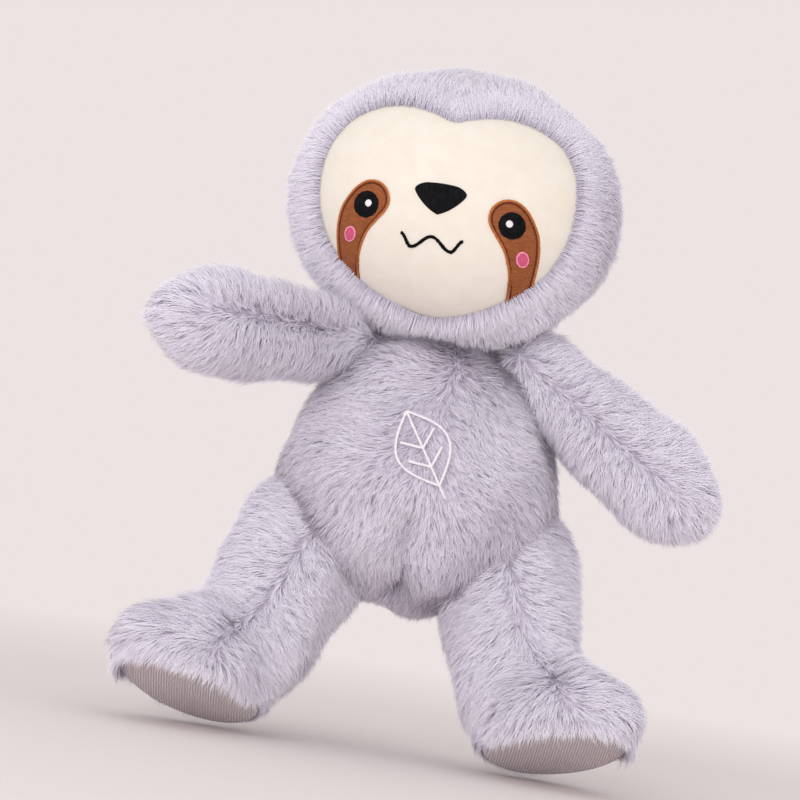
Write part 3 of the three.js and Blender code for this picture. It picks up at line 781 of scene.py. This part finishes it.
def on_face(flat, lift, facing=False):
    """Points a lift above the face's panel, from the head's x and z, with its normals if asked."""
    size = HEAD_SIZE - FACE_RECESS
    share = 1 - (flat[:, 0] / size[0]) ** 2 - (flat[:, 1] / size[2]) ** 2
    y = -size[1] * np.sqrt(np.maximum(share, 0.002))
    points = np.stack([flat[:, 0], y, flat[:, 1]], 1)
    normals = unit(points / size ** 2)
    placed = head_to_frame(points + normals * np.reshape(lift, (-1, 1)))
    return (placed, normals @ HEAD_AXES.T) if facing else placed


def torso_front(flat, lift):
    """Points on the torso's front, from x and height above the floor."""
    points = []
    for (x, z), up in zip(flat, lift):
        width, depth = torso_size(z)
        y = -depth * math.sqrt(max(1 - (x / width) ** 2, 0.01))
        points.append((x, y - up, z))
    return np.array(points) + ORIGIN


# Stitching

def satin_line(name, body, flat, place, width, lift, material, closed=False):
    """A raised line of side-by-side stitches along points in a drawing plane."""
    flat = np.concatenate([flat, flat[:1]]) if closed else flat
    run = np.concatenate([[0], np.cumsum(np.linalg.norm(np.diff(flat, axis=0), axis=1))])
    count = max(int(run[-1] / STITCH_PITCH) * 4, 12)
    at = np.linspace(0, run[-1], count)
    line = np.stack([np.interp(at, run, flat[:, k]) for k in range(2)], 1)
    ahead = unit(np.gradient(line, axis=0))
    side = beside(ahead)
    ridge = 0.5 + 0.5 * np.cos(np.arange(count) * np.pi / 2)
    jitter = np.repeat(rng.normal(0, 0.06, (count + 3) // 4), 4)[:count]
    rows, profile = [], SATIN_PROFILE
    for angle in np.pi * np.arange(profile) / (profile - 1):
        reach = math.cos(angle) * width / 2 * (1 + jitter * 1.5)
        rise = math.sin(angle) * width * 0.38 * (0.7 + 0.3 * ridge)
        rows.append(place(line + side * reach[:, None], lift + rise))
    faces = [
        (a + k, a + k + 1, a + profile + k + 1, a + profile + k)
        for a in range(0, (count - 1) * profile, profile) for k in range(profile - 1)
    ]
    if not closed:
        faces += [tuple(range(profile)), tuple(reversed(range((count - 1) * profile, count * profile)))]
    piece = add_mesh(name, np.stack(rows, 1).reshape(-1, 3), faces, material, body)
    return piece


def loop_area(outline):
    x, z = outline.T
    return float(np.sum(x * np.roll(z, -1) - np.roll(x, -1) * z)) / 2


def drawn_in(outline, amount):
    """A closed outline moved inwards."""
    ahead = unit(np.roll(outline, -1, 0) - np.roll(outline, 1, 0))
    return outline + beside(ahead) * np.sign(loop_area(outline)) * amount


def stitched_area(name, replaced, outline, lift, dome, material, slant=0.0, rough=0.0):
    """An outline on the face filled with rows of thread along the slant, domed towards the middle."""
    if loop_area(outline) < 0:
        outline = outline[::-1]
    outline = drawn_in(outline, rng.normal(0, rough, (len(outline), 1))) if rough else outline
    centre = outline.mean(0)
    rings, spokes = 26, len(outline)
    points, rises = [centre[None]], [np.array([dome])]
    for share in (np.arange(1, rings + 1) / rings) ** 0.8:
        points.append(centre + (outline - centre) * share)
        rises.append(np.full(spokes, dome * (1 - share ** 6)))
    flat = np.concatenate(points)
    along = np.array([math.cos(slant), math.sin(slant)])
    laid = (flat - centre) @ np.stack([along, (-along[1], along[0])], 1)
    ridge = 0.05 * MM * np.cos(laid[:, 1] / STITCH_ROW * 2 * np.pi)
    points = on_face(flat, lift + np.concatenate(rises) + ridge)
    piece = add_mesh(name, points, disc_faces(rings, spokes), material, "head")
    add_uv(piece, laid / UV_SPAN + 0.5)
    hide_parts(replaced)


# Head

def face_panel():
    """Cream velour, domed, its edge tucked under the fur."""
    outline = face_outline(200)
    rings = 44
    points, lifts = [np.zeros((1, 2))], [np.zeros(1)]
    for share in np.arange(1, rings + 1) / rings:
        points.append(outline * share * 1.04)
        lifts.append(np.full(len(outline), -2.5 * MM * share ** 40))
    flat = np.concatenate(points)
    lift = np.concatenate(lifts) + 0.25 * MM * lumps(np.c_[flat, flat[:, :1]], 60 * MM, 4)
    faces = [(face[0], *reversed(face[1:])) for face in disc_faces(rings, len(outline))]
    piece = add_mesh("face_velour", on_face(flat, lift), faces, VELOUR, "head")
    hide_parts("face_panel")


PATCH_SHARES = [
    (0.06, 1), (0.25, 0.89), (0.39, 0.59), (0.44, 0.19), (0.39, -0.06), (0.25, -0.19), (0.1, -0.33),
    (0.01, -0.48), (-0.04, -0.62), (-0.05, -0.76), (-0.03, -0.95), (0.03, -1.25), (-0.26, -1.3),
    (-0.46, -1.0), (-0.49, -0.75), (-0.53, -0.58), (-0.56, -0.41), (-0.56, -0.26), (-0.52, -0.08),
    (-0.43, 0.18), (-0.29, 0.61), (-0.12, 0.9),
]
NOSE_SHARES = [
    (-1, -0.08), (-0.88, 0.35), (-0.62, 0.85), (-0.2, 1), (0.2, 1), (0.62, 0.85), (0.88, 0.35), (1, -0.08),
    (0.9, -0.3), (0.68, -0.56), (0.38, -0.82), (0.06, -1), (-0.06, -1), (-0.38, -0.82), (-0.68, -0.56),
    (-0.9, -0.3),
]


def eye(side):
    sign = SIGN[side]
    centre = np.array([sign * EYE_HALF_SPACING, -EYE_DROP])
    cheek = centre + (sign * CHEEK_OUT, -CHEEK_DROP)
    glint = centre + (-sign * HIGHLIGHT_IN, HIGHLIGHT_UP)
    outline = centre + shares_curve(PATCH_SHARES, -sign * PATCH_WIDTH, PATCH_RISE, PATCH_TAIL, 160)
    share, step = np.ones((len(outline), 1)), 1.0
    for _ in range(12):
        step /= 2
        share += np.where(past_face(cheek + (outline - cheek) * share, 0.3 * MM)[:, None], -step, step)
    clipped = cheek + (outline - cheek) * np.minimum(share, 1)
    stitched_area(f"{side}_patch_fill", f"{side}_eye_patch", drawn_in(clipped, 0.5 * MM), 0.3 * MM, 0.6 * MM,
                  BROWN, slant=sign * 0.3)
    for name, amount, width, lift, material in (("rim", 0.6 * MM, 1.3 * MM, 0.35 * MM, ORANGE),
                                                ("line", 1.6 * MM, 1.0 * MM, 0.55 * MM, RUST)):
        line = drawn_in(outline, amount)
        hidden = past_face(line, 0.7 * MM)
        first = int(np.flatnonzero(hidden & ~np.roll(hidden, -1))[-1]) + 1
        line, hidden = np.roll(line, -first, 0), np.roll(hidden, -first)
        satin_line(f"{side}_patch_{name}", "head", line[:int(hidden.argmax())], on_face, width, lift,
                   material)
    stitched_area(f"{side}_eye_disc", f"{side}_eye", oval(centre, EYE_RADIUS, EYE_RADIUS, 64),
                  1.0 * MM, 0.8 * MM, BLACK, slant=0.3, rough=0.1 * MM)
    dot = oval(glint, HIGHLIGHT_RADIUS, HIGHLIGHT_RADIUS, 24)
    stitched_area(f"{side}_eye_dot", f"{side}_eye_highlight", dot, 1.75 * MM, 0.5 * MM, WHITE)
    stitched_area(f"{side}_cheek_fill", f"{side}_cheek", oval(cheek, CHEEK_HALF_WIDTH, CHEEK_HALF_HEIGHT, 32),
                  0.9 * MM, 0.5 * MM, PINK, slant=1.2)
    inner = oval(cheek, CHEEK_HALF_WIDTH - 0.4 * MM, CHEEK_HALF_HEIGHT - 0.4 * MM, 40)
    satin_line(f"{side}_cheek_rim", "head", inner, on_face, 0.9 * MM, 1.0 * MM, ROSE, True)


def nose_and_mouth():
    outline = shares_curve(NOSE_SHARES, NOSE_HALF_WIDTH, NOSE_TOP, NOSE_TIP, 120)
    stitched_area("nose_fill", "nose", outline, 0.3 * MM, 1.0 * MM, BLACK, slant=math.pi / 2)
    x = np.linspace(-MOUTH_HALF_WIDTH, MOUTH_HALF_WIDTH, 80)
    beyond = (np.abs(x) - MOUTH_TROUGH_AT) / (MOUTH_HALF_WIDTH - MOUTH_TROUGH_AT)
    phase = np.where(beyond > 0, 1 + beyond, np.abs(x) / MOUTH_TROUGH_AT)
    wave = np.stack([x + MOUTH_ASIDE, MOUTH_WAVE * np.cos(np.pi * phase) - MOUTH_DROP], 1)
    line = satin_line("mouth_line", "head", wave, on_face, 1.6 * MM, 0.2 * MM, BLACK_LINE)
    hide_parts("mouth")


def head():
    points, faces = ellipsoid_form(HEAD_SIZE)

    def hollow(points, normals):
        local = frame_to_head(points)
        edge = np.where(local[:, 1] < 0, face_edge(local)[0], FAR)
        inner = 1 - smoothstep(edge, -0.8 * MM, 0.8 * MM)
        above = np.linalg.norm(local / (HEAD_SIZE - FACE_RECESS), axis=1) - 1
        sunk = np.maximum(above, 0) * (1 - smoothstep(edge, 3 * MM, 9 * MM))
        return head_to_frame(local * (1 - 0.08 * inner - sunk)[:, None])

    base = skin("head", [(head_to_frame(points), faces)], hollow, 0.8 * MM, 1.8 * MM)
    face_panel()
    for side in SIGN:
        eye(side)
    nose_and_mouth()
    source = np.random.default_rng(11)
    roots, normals = sample(base, source)
    local = frame_to_head(roots)
    keep = (local[:, 1] > 0) | (face_edge(local)[0] > 0.6 * MM)
    rim_rows = np.concatenate([face_outline(RIM_CLUMPS, margin) for margin in RIM_ROWS])
    rim_roots, rim_normals = on_face(rim_rows, 0.2 * MM, True)
    roots = np.concatenate([roots[keep], rim_roots])
    normals = np.concatenate([normals[keep], rim_normals])
    local = frame_to_head(roots)
    edge, out = face_edge(local)
    away = np.stack([out[:, 0], np.zeros(len(out)), out[:, 1]], 1) @ HEAD_AXES.T
    ahead = smoothstep(-local[:, 1], -30 * MM, 36 * MM)
    back = 1 - ahead[:, None]
    way = ahead[:, None] * away + back * (0.5 * away + np.array([0.0, 1.0, -0.6]))
    comb = combed(way, normals, roots, 0.12, 60 * MM, 3)
    rim = ahead * (1 - smoothstep(edge, 0, 14 * MM))
    chin = smoothstep(-local[:, 2], 30 * MM, 62 * MM) * (1 - rim)
    lean = 0.84 - 0.3 * rim - 0.16 * chin + 0.03 * lumps(roots, 30 * MM, 8)
    length = PILE_LENGTH * (1 - 0.2 * rim + 0.15 * chin)
    forward = 2.2 * chin * ahead + 1.2 * rim
    facing = unit(normals + forward[:, None] * np.array([0, -1, 0.3]))
    # Painted shade: the fur is darkened on the rim's lower right and on the head's right side, away from the
    # key lamp.
    shaded = smoothstep(out @ (0.85, -0.5), 0.2, 0.8) * smoothstep(edge, 6 * MM, 14 * MM)
    painted_shade = 0.82 * np.maximum(shaded, smoothstep(local[:, 0], 56 * MM, 80 * MM)) * ahead
    fur("head", source, TUFT, quarters("head", local), roots, normals, comb, length, lean, painted_shade, facing)


# Torso

def head_gap(points):
    """How far points in the shared frame lie outside the head, about."""
    return (np.linalg.norm(frame_to_head(points) / HEAD_SIZE, axis=1) - 1) * HEAD_SIZE.mean()


def near_limbs(points):
    """How far points in the shared frame lie outside the limbs' upper parts."""
    gaps = []
    for side in SIGN:
        for joint, way, radius in (("shoulder", arm_direction, ARM_BALL), ("hip", leg_direction, HIP_BALL)):
            away = points - joints[f"{side}_{joint}"]
            along = np.clip(away @ way(side), 0, LIMB_ROOT)[:, None]
            gaps.append(np.linalg.norm(away - along * way(side), axis=1) - radius)
    return np.min(gaps, axis=0)


def leaf_lines():
    """The leaf's stitched lines in the tummy's x and height, leant."""
    t = np.linspace(0, 1, 24)
    edge = np.stack([LEAF_HALF_WIDTH * np.sin(np.pi * t), LEAF_HALF_LENGTH * (1 - 2 * t)], 1)
    low = -LEAF_HALF_LENGTH / 2
    lines = [edge, edge * (-1, 1), [(0, LEAF_HALF_LENGTH), (0, -LEAF_HALF_LENGTH - STEM_LENGTH)]]
    for sign in (-1, 1):
        lines.append([(0, 0), (sign * VEIN_REACH, VEIN_RISE)])
        lines.append([(0, low), (sign * VEIN_REACH, VEIN_RISE + low)])
    c, s = math.cos(LEAF_LEAN), math.sin(LEAF_LEAN)
    turn = np.array([[c, s], [-s, c]])
    return [dense_line(line) @ turn + LEAF_PLACE for line in lines]


def torso():
    points, faces = torso_form()
    forms = [(points + ORIGIN, faces)]
    for sign in SIGN.values():
        points, faces = ellipsoid_form(NOTCH_SIZE)
        forms.append((points + NOTCH_PLACE * (sign, 1, 1) + ORIGIN, faces))
    seam = dense_line(TUMMY_SEAM + ORIGIN)
    base = skin("torso", forms, seam_pull(seam, TUMMY_SEAM_DEPTH))
    lines = leaf_lines()
    for index, line in enumerate(lines):
        piece = satin_line(f"leaf_line_{index}", "torso", line, torso_front, THREAD, -0.8 * MM, WHITE)
        if index == 0:
            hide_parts("leaf_embroidery")
    source = np.random.default_rng(12)
    roots, normals = sample(base, source)
    under = head_gap(roots) + 10 * MM
    limbs = near_limbs(roots) + 6 * MM
    keep = (under > 0) & (limbs > 0)
    roots, normals, under, limbs = roots[keep], normals[keep], under[keep], limbs[keep]
    toy = roots - ORIGIN
    gap, distance, _ = from_line(toy * (1, 0, 1), dense_line(TUMMY_MIDDLE * (1, 0, 1)))
    outward = gap / np.sqrt(distance ** 2 + (9 * MM) ** 2)[:, None]
    front = smoothstep(-toy[:, 1], -20 * MM, 20 * MM)[:, None]
    way = front * (led(outward, np.array([0, 0, -1.0]), 0.45) + np.array([0, 0.1, 0]))
    way = way + (1 - front) * np.array([0, 0.3, -1.0])
    comb = combed(way, normals, roots, 0.4, 40 * MM, 21)
    ahead = normals[:, 1] < -0.3
    tips = (toy[ahead] + comb[ahead] * 5 * MM)[:, [0, 2]]
    to_line = np.full(len(roots), FAR)
    to_line[ahead] = np.linalg.norm(tips[:, None] - np.concatenate(lines)[None], axis=2).min(1)
    pressed = 1 - smoothstep(to_line, 1.5 * MM, 7 * MM)
    parting = bell(across_seam(roots, normals, seam)[1], PARTING_REACH)
    lean = 0.75 + 0.06 * lumps(roots, 22 * MM, 22) + 0.16 * pressed
    length = TUMMY_PILE * (1 + 0.1 * lumps(roots, 26 * MM, 23)) * (1 - 0.4 * pressed) * (1 - 0.3 * parting)
    # Painted shade: the torso's fur is darkened a little all over and in soft patches, and more along the
    # seam's crease, under the head and beside the limbs.
    painted_shade = 0.26 + 0.2 * lumps(roots, 60 * MM, 24) + 0.6 * parting
    painted_shade += 0.7 * bell(under, 36 * MM) + 0.6 * bell(limbs, 11 * MM)
    painted_shade = np.clip(painted_shade, 0, 0.85)
    fur("torso", source, TUMMY_TUFT, quarters("torso", toy), roots, normals, comb, length, lean, painted_shade, normals)


def inside_torso(points, margin):
    """Whether points in the shared frame lie in the torso, a margin in from its surface."""
    toy = points - ORIGIN
    width, depth = zip(*(torso_size(z) for z in np.clip(toy[:, 2], TORSO_BOTTOM + MM, TORSO_TOP - MM)))
    width = np.maximum(np.array(width) - margin, MM)
    depth = np.maximum(np.array(depth) - margin, MM)
    level = (toy[:, 2] > TORSO_BOTTOM + margin) & (toy[:, 2] < TORSO_TOP - margin)
    return level & ((toy[:, 0] / width) ** 2 + (toy[:, 1] / depth) ** 2 < 1)


# Arms

def arm(side):
    joint = joints[f"{side}_shoulder"]
    direction = arm_direction(side)
    ahead = unit(np.array([0, -1, 0]) + direction * direction[1])
    below = np.cross(direction, ahead) * -SIGN[side]
    drop = ARM_SEAM_DROP[side]
    offset = (ahead * math.cos(drop) + below * math.sin(drop)) * ARM_RADIUS
    seam = dense_line([joint + direction * along + offset for along in ARM_SEAM])
    points, faces = limb_form(ARM_BALL, ARM_RADIUS, ARM_LENGTH, ARM_SWELL_AT)
    points = points @ turned_to(direction).T + joint
    base = skin(f"{side}_arm", [(points, faces)], seam_pull(seam, ARM_SEAM_DEPTH))
    source = np.random.default_rng(31 + SIGN[side])
    roots, normals = sample(base, source)
    keep = ~inside_torso(roots, 8 * MM) & (head_gap(roots) > -14 * MM)
    roots, normals = roots[keep], normals[keep]
    over, distance = across_seam(roots, normals, seam)
    parting = bell(distance, PARTING_REACH)
    comb = combed(led(over, direction, 0.45), normals, roots, 0.2, 44 * MM, 41 + SIGN[side])
    lean = 0.84 + 0.04 * lumps(roots, 24 * MM, 42) - 0.14 * parting
    length = PILE_LENGTH * (1 - 0.15 * parting)
    facing = unit(normals + PILE_AHEAD * LOOK_AHEAD)
    # The fur along the seam is darkened: painted shade in the parting's crease.
    strands(f"{side}_arm_fur_strands", f"{side}_arm", source, TUFT, roots, normals, comb, length, lean,
            0.35 * parting, facing)


# Legs and soles

def sole(side, turn, centre):
    """A knit panel, softly domed, with its edge tucked under the fur."""
    share = math.sqrt(1 - (SOLE_BELOW / FOOT_SIZE[2]) ** 2)
    reach = FOOT_SIZE[:2] * share - SOLE_MARGIN
    spokes = SOLE_SPOKES
    angle = np.linspace(0, 2 * np.pi, spokes, endpoint=False)
    shares = np.repeat(np.arange(SOLE_RINGS + 1) / SOLE_RINGS, spokes)[:, None]
    flat = np.tile(np.stack([np.cos(angle), np.sin(angle)], 1), (SOLE_RINGS + 1, 1)) * shares * reach
    lift = SOLE_DOME * (1 - shares ** 2) - 3 * MM * shares ** 16
    points = np.c_[flat, SOLE_BELOW - 0.8 * MM + lift] @ turn.T + centre
    faces = [
        (a + spokes + i, a + spokes + (i + 1) % spokes, a + (i + 1) % spokes, a + i)
        for a in range(0, SOLE_RINGS * spokes, spokes) for i in range(spokes)
    ]
    piece = add_mesh(f"{side}_sole_knit", points, faces, KNIT, f"{side}_leg")
    rib = unit(np.cross(turn[:, 2], (1.0, 0, 0))) @ turn[:, :2]
    add_uv(piece, flat @ np.array([(-rib[1], rib[0]), (rib[0], rib[1])]) / UV_SPAN + 0.5)
    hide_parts(f"{side}_sole")


def leg(side):
    joint = joints[f"{side}_hip"]
    direction = leg_direction(side)
    foot_turn, foot_centre = foot_frame(side)
    shin, shin_faces = limb_form(HIP_BALL, SHIN_RADIUS, SHIN_LENGTH, SHIN_SWELL_AT)
    foot, foot_faces = ellipsoid_form(FOOT_SIZE)
    to_toes = smoothstep(foot[:, 0], 5 * MM, FOOT_SIZE[0])
    foot[:, 2] += TOE_DROP * to_toes * np.maximum(-foot[:, 2] / FOOT_SIZE[2], 0)
    instep, instep_faces = ellipsoid_form(INSTEP_SIZE)
    normal = foot_turn[:, 2]
    seam = dense_line(LEG_SEAM[side] + ORIGIN)
    pull = seam_pull(seam, LEG_SEAM_DEPTH)

    def on_foot(points):
        return points @ foot_turn.T + foot_centre

    def flatten(points, normals):
        depth = (points - foot_centre) @ normal - (SOLE_BELOW - 2 * MM)
        return pull(points - np.maximum(depth, 0)[:, None] * normal, normals)

    base = skin(f"{side}_leg", [
        (shin @ turned_to(direction).T + joint, shin_faces),
        (on_foot(foot), foot_faces),
        (on_foot(instep + INSTEP_PLACE), instep_faces),
    ], flatten)
    sole(side, foot_turn, foot_centre)
    source = np.random.default_rng(51 + SIGN[side])
    roots, normals = sample(base, source)
    rim = np.c_[oval((0, 0), *SOLE_RIM[:2], SOLE_RIM_CLUMPS), np.full(SOLE_RIM_CLUMPS, SOLE_RIM[2])]
    roots = np.concatenate([roots, on_foot(rim)])
    normals = np.concatenate([normals, unit(rim * (1, 1, 2)) @ foot_turn.T])
    below = (roots - foot_centre) @ normal
    climb = unit(np.array([0, 0, 1]) - normal * normal[2])
    high = smoothstep((roots - foot_centre) @ climb, -6 * MM, 12 * MM)
    keep = ~inside_torso(roots, 10 * MM) & (below < SOLE_FUR_END)
    roots, normals, below, high = roots[keep], normals[keep], below[keep], high[keep]
    over, distance = across_seam(roots, normals, seam)
    parting = bell(distance, PARTING_REACH)
    edge = smoothstep(below, SOLE_BELOW - 14 * MM, SOLE_FUR_END)
    way = led(over, direction, 0.35) + (edge * (2.4 * high - 0.9))[:, None] * normal
    comb = combed(way, normals, roots, 0.25, 46 * MM, 61 + SIGN[side])
    lean = 0.84 + 0.04 * lumps(roots, 26 * MM, 62) - 0.08 * parting - 0.12 * edge * high
    length = PILE_LENGTH * (1 - 0.2 * parting) * (1 - 0.55 * edge * (1 - high))
    facing = unit(normals + (PILE_AHEAD + 0.7 * edge)[:, None] * LOOK_AHEAD)
    upper = (roots - joint) @ direction < UPPER_LEG
    parts = {f"{side}_leg_fur_upper": upper, f"{side}_leg_fur_lower": ~upper}
    # The fur along the seam is darkened: painted shade in the parting's crease.
    fur(f"{side}_leg", source, TUFT, parts, roots, normals, comb, length, lean, 0.35 * parting, facing)


# Stage, light and camera

CAMERA_DISTANCE = 1.35
CAMERA_ELEVATION = math.radians(-3)
CAMERA_ROLL = math.radians(9.5)
CAMERA_SENSOR = 36
AIM = np.array([-16.4, 0, 174.3]) * MM
VIEW_WIDTH = 0.4072
BACKGROUND = (236, 227, 226)
FLOOR_HALF = 12.0
FLOOR_FADE = (0.35, 0.95)
WORLD_TINT = (1.0, 0.985, 0.98, 1)
WORLD_LIGHT = 0.81
TOY_MIDDLE = (0, 0, 0.18)


def two_shaders(tree, output, factor, first, second):
    """An output's surface, from two shaders mixed by a factor."""
    mix = node(tree, "MixShader", fac=factor)
    tree.links.new(first, mix.inputs[1])
    tree.links.new(second, mix.inputs[2])
    tree.links.new(mix.outputs["Shader"], tree.nodes[output].inputs["Surface"])


def stage():
    material, tree, shader = new_material("pale_floor", BACKGROUND, 0.9, specular=0.1)
    length = node(tree, "VectorMath", operation="LENGTH", vector=piece_place(tree))
    fade = node(tree, "MapRange", value=length.outputs["Value"], from_min=FLOOR_FADE[0],
                from_max=FLOOR_FADE[1])
    far = node(tree, "Emission", color=colour(*BACKGROUND))
    two_shaders(tree, "Material Output", fade.outputs["Result"], shader.outputs["BSDF"],
                far.outputs["Emission"])
    corners = [(x * FLOOR_HALF, y * FLOOR_HALF, 0) for x, y in ((-1, -1), (1, -1), (1, 1), (-1, 1))]
    add_mesh("floor", corners, [(0, 1, 2, 3)], material, None)


def world():
    made = bpy.data.worlds.new("studio")
    made.use_nodes = True
    tree = made.node_tree
    light = tree.nodes["Background"]
    light.inputs["Color"].default_value = WORLD_TINT
    light.inputs["Strength"].default_value = WORLD_LIGHT
    seen = node(tree, "Background", color=colour(*BACKGROUND), strength=1)
    path = node(tree, "LightPath")
    two_shaders(tree, "World Output", path.outputs["Is Camera Ray"], light.outputs["Background"],
                seen.outputs["Background"])
    scene.world = made


def placed(name, data, place, turn):
    made = bpy.data.objects.new(name, data)
    made.location = place
    made.rotation_euler = turn.to_euler()
    scene.collection.objects.link(made)
    return made


def lamp(name, place, size, power, tint):
    data = bpy.data.lights.new(name, "AREA")
    data.size = size
    data.energy = power
    data.color = tint
    placed(name, data, place, (Vector(TOY_MIDDLE) - Vector(place)).to_track_quat("-Z", "Y"))


def camera():
    data = bpy.data.cameras.new("camera")
    data.sensor_width = CAMERA_SENSOR
    data.lens = CAMERA_SENSOR * CAMERA_DISTANCE / VIEW_WIDTH
    back = Vector((0, -math.cos(CAMERA_ELEVATION), math.sin(CAMERA_ELEVATION)))
    look = (-back).to_track_quat("-Z", "Y").to_matrix() @ Matrix.Rotation(CAMERA_ROLL, 3, "Z")
    place = Vector(AIM + ORIGIN) + back * CAMERA_DISTANCE
    scene.camera = placed("camera", data, place, look)


camera()
head()
torso()
for side in SIGN:
    arm(side)
    leg(side)
stage()
world()
lamp("key", (-0.9, -1.9, 0.9), 1.2, 8.8, (1, 0.99, 0.98))
lamp("fill", (-0.2, -2, 0.3), 0.6, 9.8, (1, 0.98, 0.98))
scene.view_settings.view_transform = "Standard"
